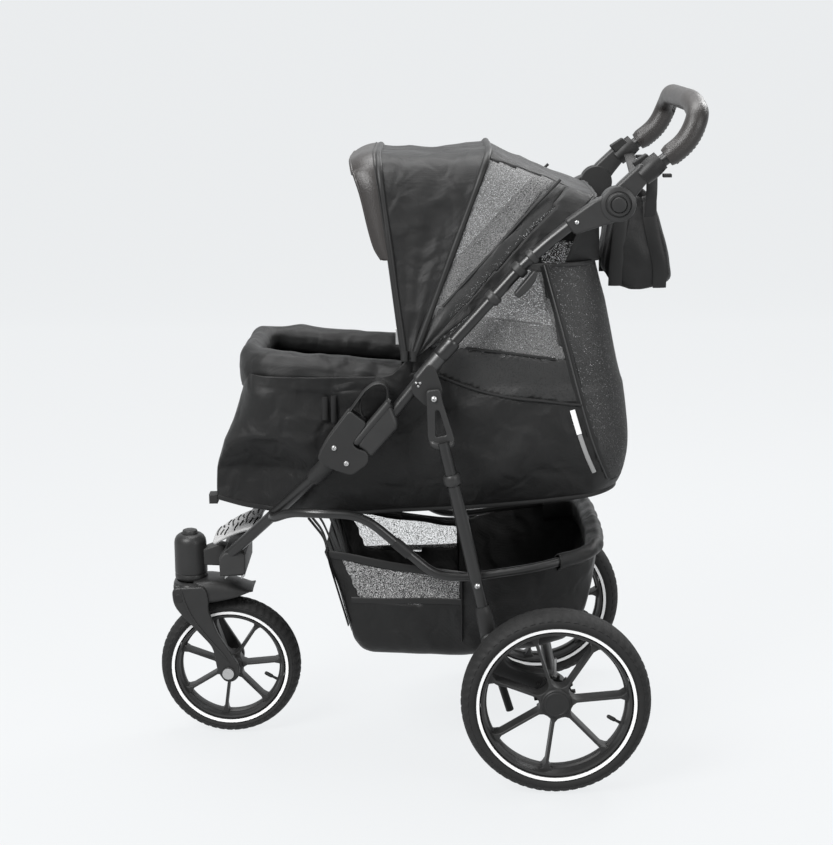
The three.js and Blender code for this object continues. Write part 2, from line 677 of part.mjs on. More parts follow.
// Bracket for the leg and the hood, riveted to the outside of the side tube.
const bracketInner = frameHalf + tubeRadius + touch;
const bracketSide = [
  [legTop.y - 8, legTop.z + 54], [legTop.y + 3, legTop.z + 47], [legTop.y + 14, legTop.z + 8],
  [legTop.y + 10, legTop.z - 12], [legTop.y - 12, legTop.z - 10], [legTop.y - 34, legTop.z + 14],
  [legTop.y - 30, legTop.z + 30],
];
const bracket = join(
  solid(plate(outline(bracketSide, 6), bracketInner, bracketInner + 4)),
  solid(rodX(5, bracketInner + 2, linkInner + linkThick + 3, legTop.y, legTop.z, 16)),
);
addPair('leg_bracket', geometryOf(bracket), frameMetal);

// Handle joint: the inner half is an arm on the side tube, the outer half carries the handle.
const jointInner = frameHalf - 19;
const jointMiddle = frameHalf;
const jointOuter = frameHalf + 19;
const armPoint = (s, t) => {
  const along = V(0, 0.87, 0.5).normalize();
  return [knob.y + along.y * s - along.z * t, knob.z + along.z * s + along.y * t];
};
const armSide = [[-72, -11], [0, -13], [0, 13], [-72, 11]].map(([s, t]) => armPoint(s, t));
const armTube = solid(rodBetween(
  sidePath[3].clone().addScaledVector(sideCurve.getTangentAt(1), -90),
  sidePath[3].clone().addScaledVector(sideCurve.getTangentAt(1), touch),
  tubeRadius + touch,
  16,
));
const arm = cut(
  join(
    solid(plate(outline(armSide, 10), frameHalf - 13, frameHalf + 13)),
    solid(rodX(knobRadius - 1, jointInner, jointMiddle - running, knob.y, knob.z, 28)),
  ),
  armTube,
  solid(rodX(knobRadius + 3, jointMiddle - running, jointOuter + 1, knob.y, knob.z, 28)),
);
addPair('handle_arm', geometryOf(arm), frameMetal);

// ---- handle ---------------------------------------------------------------------------------
const handleHalf = frameHalf - 3;
const gripTop = { y: knob.y + 116, z: knob.z + 150 };
const handleArmTop = V(handleHalf, knob.y + 100, knob.z + 96);
const handlePath = (side) => [
  V(side * handleHalf, knob.y + 12, knob.z + 14),
  V(side * handleHalf, knob.y + 46, knob.z + 52),
  V(side * handleHalf, handleArmTop.y, handleArmTop.z),
  V(side * (handleHalf - 8), gripTop.y - 3, gripTop.z - 14),
];
const crossbar = [1, -1].map((side) => V(side * (handleHalf - 60), gripTop.y - 4, gripTop.z));
const whole = [...handlePath(1), ...crossbar, ...handlePath(-1).reverse()];
const loopTube = solid(bentTube(whole, 45, handleTube, 8, 42));
const buttonReach = 12;
const handleBar = cut(
  join(
    loopTube,
    ...[1, -1].map((side) =>
      solid(rodX(knobRadius, side * (jointMiddle + running / 2), side * jointOuter, knob.y, knob.z, 28))),
  ),
  ...[1, -1].map((side) =>
    solid(rodX(knobRadius, side * jointInner * 0.9, side * jointMiddle, knob.y, knob.z, 28))),
  ...[1, -1].map((side) =>
    solid(rodX(buttonReach + running, side * (jointOuter - 9), side * (jointOuter + 1), knob.y, knob.z, 20))),
);
add('handle_bar', geometryOf(handleBar), frameMetal);
const pressTravel = 4;
addPair(
  'tilt_button',
  rodX(buttonReach, jointOuter - 9 + pressTravel + running, jointOuter + 4, knob.y, knob.z, 20),
  hardPlastic,
);

const gripPath = whole.slice(2, -2);
const gripStart = V(handleHalf, knob.y + 62, knob.z + 64);
const gripRun = [gripStart, ...gripPath, V(-gripStart.x, gripStart.y, gripStart.z)];
const grip = cut(
  solid(bentTube(gripRun, 45, gripRadius, 8, 42)),
  solid(bentTube(whole, 45, handleTube + 1.6, 8, 42)),
);
add('handle_grip', geometryOf(grip), gripLeather);

// Organiser bag, open at the top, hung from the handle.
const bagSide = [
  [knob.y + 8, knob.z - 42], [knob.y - 8, knob.z - 116], [knob.y + 10, knob.z - 145],
  [knob.y + 64, knob.z - 152], [knob.y + 100, knob.z - 136], [knob.y + 77, knob.z - 21],
];
const bagInner = [
  [knob.y + 12, knob.z], [knob.y - 1, knob.z - 114], [knob.y + 14, knob.z - 139],
  [knob.y + 62, knob.z - 146], [knob.y + 93, knob.z - 133], [knob.y + 72, knob.z + 13],
];
const bagHalf = cabinHalf - 62;
const bag = cut(
  solid(plate(outline(bagSide, 8), -bagHalf, bagHalf)),
  solid(plate(outline(bagInner, 6), -bagHalf + clothWall, bagHalf - clothWall)),
);
add('organiser_bag', geometryOf(bag), blackCloth);

// ---- basket rail and basket ------------------------------------------------------------------
const railEnd = V(rail.x + tubeRadius + railRadius + 8, rail.y, rail.z);
const hoopHalf = frameHalf - 28;
const rearHoopY = legRivet.y + 199;
const railSide = [
  railEnd,
  V(rail.x + 60, rail.y + 34, rail.z + 20),
  V(frameHalf, rail.y + 72, rail.z + 24),
  V(frameHalf, rail.y + 150, rail.z + 20),
  V(frameHalf, legRivet.y - 66, legRivet.z + 7),
  V(frameHalf, legRivet.y - 12, legRivet.z + 4),
  V(frameHalf, legRivet.y + 100, legRivet.z + 20),
  V(hoopHalf, rearHoopY - 6, legRivet.z + 38),
];
const railMirror = railSide.map((q) => V(-q.x, q.y, q.z)).reverse();
const hoop = [V(hoopHalf - 70, rearHoopY + 4, legRivet.z + 42), V(70 - hoopHalf, rearHoopY + 4, legRivet.z + 42)];
const railTube = bentTube([...railSide, ...hoop, ...railMirror], 34, railRadius, 8, 42);
add('basket_rail', railTube, frameMetal);

const basketHalf = frameHalf - railRadius - 32;
const basketSide = [
  [rail.y + 86, legRivet.z + 36], [rail.y + 132, basketFloor + 22], [rail.y + 160, basketFloor + 4],
  [legRivet.y - 20, basketFloor], [legRivet.y + 100, basketFloor + 14], [rearHoopY - 34, basketFloor + 40],
  [rearHoopY - 22, legRivet.z + 22],
];
const basketInner = [
  [rail.y + 80, legRivet.z + 90], [rail.y + 90, legRivet.z + 34], [rail.y + 136, basketFloor + 26],
  [rail.y + 162, basketFloor + 9], [legRivet.y - 20, basketFloor + 5], [legRivet.y + 98, basketFloor + 19],
  [rearHoopY - 39, basketFloor + 43], [rearHoopY - 28, legRivet.z + 22], [rearHoopY - 28, legRivet.z + 90],
];
const basket = cut(
  solid(plate(outline(basketSide, 10), -basketHalf, basketHalf)),
  solid(plate(outline(basketInner, 8), clothWall - basketHalf, basketHalf - clothWall)),
);
add('basket', geometryOf(basket), blackCloth);

// ---- cabin ------------------------------------------------------------------------------------
// Its floor is narrower than its rim, so that it passes between the lower tubes.
const cabin = { front: rail.y - 95, floor: rail.z + 8, rim: fold.z + 118, back: knob.y - 32 };
const cabinSide = [
  [cabin.front, cabin.floor + 22], [cabin.front + 138, cabin.floor - 4], [cabin.front + 198, cabin.floor - 6],
  [cabin.front + 304, cabin.floor], [cabin.front + 502, cabin.floor + 13], [cabin.back + 30, cabin.floor + 26],
  [cabin.back + 48, cabin.floor + 60], [cabin.back + 50, cabin.floor + 128], [cabin.back + 39, cabin.floor + 213],
  [cabin.back + 18, knob.z - 226], [cabin.back - 6, knob.z - 103], [cabin.back - 44, knob.z - 98],
  [fold.y + 268, fold.z + 243], [fold.y + 205, fold.z + 176], [fold.y + 148, fold.z + 116],
  [fold.y + 100, fold.z + 98], [cabin.front + 80, cabin.rim + 6], [cabin.front + 62, cabin.rim],
  [cabin.front + 58, cabin.rim - 40],
];
const cabinInner = [
  [cabin.front + 6, cabin.floor + 26], [cabin.front + 138, cabin.floor + 1], [cabin.front + 198, cabin.floor - 1],
  [cabin.front + 304, cabin.floor + 5], [cabin.front + 500, cabin.floor + 18], [cabin.back + 27, cabin.floor + 31],
  [cabin.back + 43, cabin.floor + 61], [cabin.back + 45, cabin.floor + 127], [cabin.back + 34, cabin.floor + 211],
  [cabin.back + 13, knob.z - 228], [cabin.back - 11, knob.z - 105], [cabin.back - 14, knob.z - 60],
  [cabin.front + 64, knob.z - 60], [cabin.front + 67, cabin.rim], [cabin.front + 63, cabin.rim - 40],
];
const floorHalf = rail.x - 21;
const flareTop = fold.z - 35;
const wideSection = (inset) => {
  const low = cabin.floor - 40;
  const edge = floorHalf - inset;
  const wide = cabinHalf - inset;
  return outline([
    [-edge, low], [edge, low], [edge, cabin.floor + inset], [wide, flareTop + inset * 0.4], [wide, knob.z],
    [-wide, knob.z], [-wide, flareTop + inset * 0.4], [-edge, cabin.floor + inset],
  ]);
};
const cabinLength = [cabin.front - 20, cabin.back + 80];
const cabinOuterBody = solid(plate(outline(cabinSide, 10, 2), -cabinHalf, cabinHalf))
  .intersect(solid(beam(wideSection(0), ...cabinLength)));
const cabinInnerBody = solid(plate(outline(cabinInner, 10, 2), clothWall - cabinHalf, cabinHalf - clothWall))
  .intersect(solid(beam(wideSection(clothWall), ...cabinLength)));
add('cabin_shell', geometryOf(cut(cabinOuterBody, cabinInnerBody)), blackCloth);

const boardZ = cabin.floor + 34;
const boardHalf = floorHalf - 6;
const boardFront = cabin.front + 26;
const boardBack = cabin.back + 22;
add('floor_board', new THREE.BoxGeometry(2 * boardHalf, boardBack - boardFront, 4)
  .translate(0, (boardBack + boardFront) / 2, boardZ), hardPlastic);
add('floor_mat', plate(
  outline([
    [boardFront + 4, boardZ + 2.5], [boardBack - 4, boardZ + 2.5],
    [boardBack - 4, boardZ + 22], [boardFront + 4, boardZ + 22],
  ], 8),
  -boardHalf,
  boardHalf,
), padding);

// Rim hoop of the cabin's front, inside the rolled-down cover.
const rimHalf = cabinHalf - 34;
const rimBack = { y: fold.y + 98, z: fold.z + 116 };
const rimFront = { y: cabin.front + 68, z: cabin.rim + 20 };
const rimPath = [
  V(rimHalf, rimBack.y, rimBack.z), V(rimHalf, rimFront.y, rimFront.z),
  V(-rimHalf, rimFront.y, rimFront.z), V(-rimHalf, rimBack.y, rimBack.z),
];
add('rim_hoop', bentTube(rimPath, 60, 4.5, 6, 40), frameMetal);
const rollPath = rimPath.map((q, i) => (i === 0 || i === 3 ? V(q.x, q.y - 16, q.z + 1.4) : q.clone()));
const roll = cut(solid(bentTube(rollPath, 60, 13, 8, 40)), solid(bentTube(rimPath, 60, 6.4, 6, 40)));
add('cover_roll', geometryOf(roll), blackCloth);

// ---- hood -----------------------------------------------------------------------------------
const bowHalf = frameHalf - tubeRadius - bowRadius - 6;
const bowTopHalf = cabinHalf - 6;
const hoodTop = hoodPivot.z + 320;
const frontBowTop = { y: hoodPivot.y - 46, z: hoodTop };
const midBowTop = { y: hoodPivot.y + 131, z: hoodTop + 4 };
const bowPath = (foot, top, inset) => [
  V(bowHalf - inset, foot.y, foot.z), V(bowTopHalf, top.y, top.z),
  V(-bowTopHalf, top.y, top.z), V(inset - bowHalf, foot.y, foot.z),
];
const frontFoot = { y: hoodPivot.y - 7, z: hoodPivot.z + 4 };
const midFoot = { y: hoodPivot.y + 7, z: hoodPivot.z + 4 };
const bowBend = 70;
add('front_bow', bentTube(bowPath(frontFoot, frontBowTop, 0), bowBend, bowRadius, 6, 40), frameMetal);
add('middle_bow', bentTube(bowPath(midFoot, midBowTop, 0), bowBend, bowRadius, 6, 40), frameMetal);

const archPoint = (foot, top, share) => bentPath(bowPath(foot, top, 0), bowBend).getPointAt(share);
const archColumns = 20;
const bowClear = bowRadius + 2.5;
// A sheet between two arches that stops short of the tube of each.
function canopy(rows, from, to) {
  const grid = [];
  for (let i = 0; i <= rows; i += 1) {
    const line = [];
    for (let j = 0; j <= archColumns; j += 1) {
      const share = 0.04 + (0.92 * j) / archColumns;
      const start = from(share);
      const end = to(share);
      const across = end.clone().sub(start);
      const reach = across.length() - 2 * bowClear;
      line.push(start.addScaledVector(across.normalize(), bowClear + (reach * i) / rows));
    }
    grid.push(line);
  }
  return grid;
}
const frontArch = (share) => archPoint(frontFoot, frontBowTop, share);
const midArch = (share) => archPoint(midFoot, midBowTop, share);
const backFoot = { y: knob.y - 66, z: knob.z - 52 };
const backTop = { y: knob.y - 36, z: knob.z + 2 };
const backArch = (share) => bentPath([
  V(bowHalf - 8, backFoot.y, backFoot.z), V(bowTopHalf - 8, backTop.y, backTop.z),
  V(8 - bowTopHalf, backTop.y, backTop.z), V(8 - bowHalf, backFoot.y, backFoot.z),
], 30).getPointAt(share);
add('hood_front_panel', skin(canopy(3, frontArch, midArch), 2), blackCloth);
add('hood_rear_panel', skin(canopy(4, midArch, backArch), 2), meshCloth);

const backPanel = [
  [backTop.y + 3, backTop.z - 4], [backTop.y + 6, backTop.z - 4],
  [cabin.back + 1, knob.z - 98], [cabin.back - 3, knob.z - 98],
];
add('hood_back_panel', plate(outline(backPanel), -(bowTopHalf - 12), bowTopHalf - 12), blackCloth);

// Stiff peak ahead of the front bow.
const peakReach = 42;
const peakGrid = [];
for (let i = 0; i <= 2; i += 1) {
  const line = [];
  for (let j = 0; j <= 16; j += 1) {
    const share = 0.2 + (0.6 * j) / 16;
    const onBow = frontArch(share);
    const taper = 0.3 + 0.7 * Math.sin((Math.PI * j) / 16) ** 0.35;
    const forward = 6 + (peakReach * taper * i) / 2 + 4 * (1 - i / 2);
    line.push(V(onBow.x, onBow.y - forward, onBow.z - 3 * i * taper));
  }
  peakGrid.push(line);
}
add('hood_peak', skin(peakGrid, 3), blackCloth);

// ---- on the ground, over its own footprint -----------------------------------------------------
const footprint = new THREE.Box3().setFromObject(stroller);
const centreY = (footprint.min.y + footprint.max.y) / 2;
stroller.position.set(0, -centreY, 0);
stroller.userData = {
  centreY, fold, foldBend, legTop, hoodPivot, knob, rail, axleZ, frontAxle, steerY, trackHalf, frameHalf,
  legHalf, cabinHalf, legRivet, basketFloor, brakePivot, cabin, boardZ, headTop, lockTravel, pressTravel,
};
stroller.updateMatrixWorld(true);

export default stroller;
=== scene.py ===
# A folding three-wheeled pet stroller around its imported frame. Lengths are millimetres measured from the
# ground under the rear axle (x to the stroller's left, y to the back, z up); at() turns them into the frame.
import math

import bpy
import numpy as np
from mathutils import Matrix, Vector, noise


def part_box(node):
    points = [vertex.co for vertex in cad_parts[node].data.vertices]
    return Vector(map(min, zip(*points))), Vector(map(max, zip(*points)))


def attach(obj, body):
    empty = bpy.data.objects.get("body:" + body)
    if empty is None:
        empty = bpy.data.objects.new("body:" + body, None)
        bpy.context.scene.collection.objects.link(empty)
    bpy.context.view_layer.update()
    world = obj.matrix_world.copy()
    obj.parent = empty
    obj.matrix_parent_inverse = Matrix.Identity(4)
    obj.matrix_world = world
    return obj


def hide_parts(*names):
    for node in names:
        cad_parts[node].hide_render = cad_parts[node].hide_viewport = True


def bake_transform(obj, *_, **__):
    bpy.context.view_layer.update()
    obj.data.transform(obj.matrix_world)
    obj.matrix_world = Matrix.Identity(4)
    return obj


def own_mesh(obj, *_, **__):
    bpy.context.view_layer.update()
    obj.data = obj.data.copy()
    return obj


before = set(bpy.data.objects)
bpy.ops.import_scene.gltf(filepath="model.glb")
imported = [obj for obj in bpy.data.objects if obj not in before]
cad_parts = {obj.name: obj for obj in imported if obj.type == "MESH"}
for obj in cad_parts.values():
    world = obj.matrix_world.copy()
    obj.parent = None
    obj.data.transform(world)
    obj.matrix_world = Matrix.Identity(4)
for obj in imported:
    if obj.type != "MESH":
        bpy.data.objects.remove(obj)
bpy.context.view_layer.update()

axle_low, axle_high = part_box("rear_axle")
axle_y = (axle_low.y + axle_high.y) / 2
MM = 0.001


def at(x, y, z):
    return Vector((x * MM, y * MM + axle_y, z * MM))


# ---- camera, floor and light ------------------------------------------------------------------------
# Seen from the left side, a little above, over a seamless pale floor with large soft lamps.
scene = bpy.context.scene


def placed(name, data):
    """An object for the data, linked into the scene."""
    made = bpy.data.objects.new(name, data)
    scene.collection.objects.link(made)
    return made


camera_data = bpy.data.cameras.new("camera")
camera = placed("camera", camera_data)
scene.camera = camera
camera_data.sensor_width = 36
camera_data.lens = 78.16
camera_yaw, camera_pitch, camera_roll = -0.0094, 0.2202, -0.0105
ahead = Vector((
    -math.cos(camera_yaw) * math.cos(camera_pitch),
    math.sin(camera_yaw) * math.cos(camera_pitch),
    -math.sin(camera_pitch),
))
level = ahead.cross(Vector((0, 0, 1))).normalized()
up = level.cross(ahead)
right = math.cos(camera_roll) * level + math.sin(camera_roll) * up
up = math.cos(camera_roll) * up - math.sin(camera_roll) * level
facing = Matrix((right, up, -ahead)).transposed().to_4x4()
camera.matrix_world = Matrix.Translation(at(3039.5, -192.3, 1230.7)) @ facing

scene.view_settings.view_transform = "Standard"
world = bpy.data.worlds.new("studio")
scene.world = world
world.use_nodes = True
sky = world.node_tree.nodes["Background"].inputs
sky["Color"].default_value = (0.93, 0.95, 0.96, 1)
sky["Strength"].default_value = 0.3


def lamp(name, place, aim, size, watts):
    data = bpy.data.lights.new(name, "AREA")
    data.shape = "RECTANGLE"
    data.size, data.size_y = size
    data.energy = watts
    lamp_object = placed(name, data)
    lamp_object.location = place
    lamp_object.rotation_mode = "QUATERNION"
    lamp_object.rotation_quaternion = (aim - place).to_track_quat("-Z", "Y")


middle = at(0, -220, 500)
lamp("key_lamp", at(1900, -1700, 2500), middle, (1.3, 1.3), 135)
lamp("fill_lamp", at(2200, 1800, 1500), middle, (1.2, 1.2), 34)
lamp("top_lamp", at(-300, -200, 2900), middle, (2.0, 1.4), 80)
lamp("rim_lamp", at(-1500, 1500, 2300), middle, (1.0, 1.0), 40)


# ---- wheels -----------------------------------------------------------------------------------------
# Air-filled rubber tyres with a block tread and a reflective ring, on seven-bladed moulded rims with a
# plain cap. The rear ones turn on the axle's ends, the front one on a bolt between the fork's arms.
class Value:
    """A socket of a material. Arithmetic on it adds Math nodes."""

    def __init__(self, paint, socket):
        self.paint, self.socket = paint, socket

    def _math(self, operation, first, second):
        return self.paint.node("ShaderNodeMath", {"operation": operation}, {0: first, 1: second})

    def __add__(self, other):
        return self._math("ADD", self, other)

    def __radd__(self, other):
        return self._math("ADD", other, self)

    def __mul__(self, other):
        return self._math("MULTIPLY", self, other)

    def __rmul__(self, other):
        return self._math("MULTIPLY", other, self)

    def __gt__(self, other):
        return self._math("GREATER_THAN", self, other)

    def wave(self, turns):
        return self._math("SINE", self * (2 * math.pi * turns), 0)


class Paint:
    """A material with one Principled shader."""

    def __init__(self, name, **constants):
        self.material = bpy.data.materials.new(name)
        self.material.use_nodes = True
        self.tree = self.material.node_tree
        self.shader = self.tree.nodes["Principled BSDF"]
        for key, number in constants.items():
            self.shader.inputs[key.replace("_", " ").title().replace("Ior", "IOR")].default_value = number
        self.place = self.node("ShaderNodeTexCoord", output="Object")
        split = self.tree.nodes.new("ShaderNodeSeparateXYZ")
        self.tree.links.new(self.place.socket, split.inputs[0])
        self.x, self.y, self.z = (Value(self, split.outputs[k]) for k in range(3))

    def node(self, kind, settings=None, sockets=None, output=0):
        made = self.tree.nodes.new(kind)
        for key, setting in (settings or {}).items():
            setattr(made, key, setting)
        for key, value in (sockets or {}).items():
            self.plug(made.inputs[key], value)
        return Value(self, made.outputs[output])

    def plug(self, socket, value):
        if isinstance(value, Value):
            self.tree.links.new(value.socket, socket)
        else:
            socket.default_value = value

    def set(self, **sockets):
        for key, value in sockets.items():
            self.plug(self.shader.inputs[key.replace("_", " ").title()], value)

    def noise(self, scale, detail=3, roughness=0.6, distortion=0.0):
        return self.node("ShaderNodeTexNoise", {}, {
            "Vector": self.place, "Scale": scale, "Detail": detail, "Roughness": roughness, "Distortion": distortion})

    def cells(self, scale):
        return self.node("ShaderNodeTexVoronoi", {}, {"Vector": self.place, "Scale": scale})

    def mix(self, share, first, second):
        return self.node("ShaderNodeMix", {"data_type": "RGBA"}, {0: share, 6: first, 7: second}, output=2)

    def bump(self, height, depth):
        """Relief of the given depth in millimetres."""
        self.set(Normal=self.node("ShaderNodeBump", {}, {"Height": height, "Distance": depth * MM, "Strength": 1.0}))


def grey(tone):
    return (tone, tone, tone, 1)


def moulded(name, low, high, roughness=0.5, grain=1400):
    # moulded plastic with a fine spark-eroded grain
    paint = Paint(name, specular_ior_level=0.3, coat_roughness=0.4)
    pits, cloud = paint.cells(grain), paint.noise(22)
    paint.set(Base_Color=paint.mix(cloud, grey(low), grey(high)), Roughness=roughness + 0.12 * cloud)
    paint.bump(pits, 0.04)
    return paint.material


def piece(name, vertices, faces, material, body=None, slot=None, replaces=(), smooth=True, sharp=35):
    mesh = bpy.data.meshes.new(name)
    mesh.from_pydata([tuple(v) for v in vertices], [], faces)
    mesh.update()
    return dress(placed(name, mesh), material, body, slot, replaces, smooth, sharp)


def dress(made, material, body=None, slot=None, replaces=(), smooth=True, sharp=35):
    made.data.materials.clear()
    made.data.materials.append(material)
    if smooth:
        made.data.shade_smooth()
        made.data.set_sharp_from_angle(angle=math.radians(sharp))
    if body:
        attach(made, body)
    if replaces:
        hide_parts(*replaces)
    return made


def even(line, step):
    """The same line with points at even steps."""
    line = [Vector(p) for p in line]
    lengths = np.cumsum([0] + [(b - a).length for a, b in zip(line, line[1:])])
    count = max(2, round(lengths[-1] / (step * MM)))
    places = np.linspace(0, lengths[-1], count + 1)
    table = np.array([list(p) for p in line])
    return [Vector([np.interp(s, lengths, table[:, k]) for k in range(3)]) for s in places]


def tube(line, radius, sides=20, squash=1.0, out=None):
    """A tube round a line. radius is millimetres, or a function of the share of the way along."""
    line = [Vector(p) for p in line]
    n = len(line)
    tangents = [(line[min(i + 1, n - 1)] - line[max(i - 1, 0)]).normalized() for i in range(n)]
    side = out or (Vector((1, 0, 0)) if abs(tangents[0].x) < 0.9 else Vector((0, 0, 1)))
    vertices, faces = [], []
    for i, (point, along) in enumerate(zip(line, tangents)):
        side = (side - along * side.dot(along)).normalized()
        other = along.cross(side)
        r = (radius(i / (n - 1)) if callable(radius) else radius) * MM
        for k in range(sides):
            angle = 2 * math.pi * k / sides
            vertices.append(point + side * (r * math.cos(angle)) + other * (r * squash * math.sin(angle)))
    for i in range(n - 1):
        for k in range(sides):
            a, b = i * sides + k, i * sides + (k + 1) % sides
            faces.append((a, b, b + sides, a + sides))
    faces.append(tuple(reversed(range(sides))))
    faces.append(tuple(range((n - 1) * sides, n * sides)))
    return vertices, faces


def turned(profile, centre, segments=72, axis="x"):
    """A closed profile of (radius, place along the axis) turned about an axis through the centre."""
    vertices, faces = [], []
    n = len(profile)
    for i in range(segments):
        angle = 2 * math.pi * i / segments
        c, s = math.cos(angle), math.sin(angle)
        for r, along in profile:
            offset = Vector((along, r * c, r * s)) if axis == "x" else Vector((r * c, r * s, along))
            vertices.append(centre + offset * MM)
    for i in range(segments):
        for j in range(n):
            a, b = i * n + j, i * n + (j + 1) % n
            on = ((i + 1) % segments) * n
            faces.append((a, b, on + (j + 1) % n, on + j))
    return vertices, faces


def cleaned(vertices, faces):
    """Merges points that coincide and drops faces that have no area."""
    keys, place, kept = {}, [], []
    for v in vertices:
        key = tuple(round(c / 1e-6) for c in v)
        if key not in keys:
            keys[key] = len(kept)
            kept.append(v)
        place.append(keys[key])
    tidy = []
    for face in faces:
        ring = []
        for i in face:
            if not ring or ring[-1] != place[i]:
                ring.append(place[i])
        if len(ring) > 1 and ring[0] == ring[-1]:
            ring.pop()
        if len(set(ring)) == len(ring) and len(ring) > 2:
            tidy.append(tuple(ring))
    return kept, tidy


def lathe(name, profile, centre, segments, material, axis="x", **more):
    """A turned piece whose profile ends on the axis."""
    return piece(name, *cleaned(*turned(profile, centre, segments, axis)), material, **more)


def rounded(points, reach, steps=6):
    """A closed outline in the side view with its corners rounded off."""
    out = []
    n = len(points)
    for i, corner in enumerate(points):
        corner = Vector(corner)
        before, after = Vector(points[i - 1]) - corner, Vector(points[(i + 1) % n]) - corner
        r = min(reach, before.length * 0.48, after.length * 0.48)
        start, end = corner + before.normalized() * r, corner + after.normalized() * r
        for k in range(steps + 1):
            t = k / steps
            out.append(start * (1 - t) ** 2 + corner * 2 * t * (1 - t) + end * t * t)
    return out


def evaluated(made):
    """The mesh of an object with its modifiers put in."""
    bpy.context.view_layer.update()
    return bpy.data.meshes.new_from_object(made.evaluated_get(bpy.context.evaluated_depsgraph_get()))


def plate(name, outlines, x0, x1, material, bevel=1.0, round_=0, **more):
    """Side-view outlines (y, z), the first the edge and the rest holes, given thickness and soft edges."""
    data = bpy.data.curves.new(name, "CURVE")
    data.dimensions, data.fill_mode = "2D", "BOTH"
    data.extrude = ((x1 - x0) / 2 - bevel) * MM
    data.bevel_depth, data.bevel_resolution, data.offset = bevel * MM, 2, -bevel * MM
    for outline in outlines:
        points = rounded(outline, round_) if round_ else [Vector(p) for p in outline]
        spline = data.splines.new("POLY")
        spline.points.add(len(points) - 1)
        for point, (y, z) in zip(spline.points, points):
            point.co = (y * MM, z * MM, 0, 1)
        spline.use_cyclic_u = True
    curve = placed(name, data)
    mesh = evaluated(curve)
    bpy.data.objects.remove(curve)
    mesh.transform(Matrix(((0, 0, 1, (x0 + x1) / 2 * MM), (1, 0, 0, axle_y), (0, 1, 0, 0), (0, 0, 0, 1))))
    return dress(placed(name, mesh), material, **more)


def through(*points):
    """A smooth function through (place, value) pairs."""
    xs = [p[0] for p in points]
    ys = [p[1] for p in points]

    def value(x):
        if x <= xs[0]:
            return ys[0]
        if x >= xs[-1]:
            return ys[-1]
        i = next(k for k in range(len(xs) - 1) if x <= xs[k + 1])
        slope = []
        for k in (i, i + 1):
            a, b = max(k - 1, 0), min(k + 1, len(xs) - 1)
            slope.append((ys[b] - ys[a]) / (xs[b] - xs[a]))
        h = xs[i + 1] - xs[i]
        t = (x - xs[i]) / h
        return (ys[i] * (1 + 2 * t) * (1 - t) ** 2 + slope[0] * h * t * (1 - t) ** 2
                + ys[i + 1] * t * t * (3 - 2 * t) - slope[1] * h * t * t * (1 - t))

    return value


def rubber():
    paint = Paint("tyre_rubber", specular_ior_level=0.25)
    dust, fine = paint.noise(30), paint.noise(700)
    paint.set(Base_Color=paint.mix(dust, grey(0.008), grey(0.02)), Roughness=0.62 + 0.2 * dust)
    paint.bump(fine, 0.12)
    return paint.material


def reflective(name, tone):
    paint = Paint(name, metallic=0.1)
    bead = paint.cells(1800)
    paint.set(Base_Color=paint.mix(bead, grey(tone), grey(tone * 0.86)), Roughness=0.3 + 0.1 * bead)
    return paint.material


tyre_rubber = rubber()
black_plastic = moulded("black_plastic", 0.009, 0.016)
white_ring = reflective("reflective_white", 0.86)
rim_plastic = moulded("rim_plastic", 0.014, 0.024, 0.42)


def tyre_profile(wheel):
    """Half of the section from the bead to the crown, as (radius, half width)."""
    half, rim_r, outer = wheel["width"] / 2, wheel["rim"], wheel["radius"]
    return [
        (rim_r - 4, half - 9), (rim_r - 2.5, half - 4), (rim_r - 0.5, half - 2.6), (rim_r + 3.5, half - 1.8),
        (rim_r + 5, half - 2.6), (rim_r + 6.5, half - 1), (rim_r + 10, half - 0.2), (outer - 14, half),
        (outer - 12.5, half - 1.1), (outer - 11, half - 0.6), (outer - 8, half - 2.6), (outer - 5.4, half - 5.6),
        (outer - 3.4, half - 8.8), (outer - 1.9, half - 12.5), (outer - 0.8, half - 17), (outer - 0.2, 4.5),
        (outer, 1.5),
    ]


def tread(r, along, angle, wheel):
    """How deep the tread is cut at a place of the tyre."""
    half, outer = wheel["width"] / 2, wheel["radius"]
    if r < outer - 11.2:
        return 0
    blocks = wheel["blocks"]
    lean = 0.9 * abs(along) / half
    turn = (angle / (2 * math.pi) * blocks + lean) % 1
    if abs(along) > half - 15 and turn < 0.3:
        return 2.0
    if 3 < abs(along) < 6 or (abs(along) <= 3 and (turn + 0.5) % 1 < 0.2):
        return 1.6
    return 0


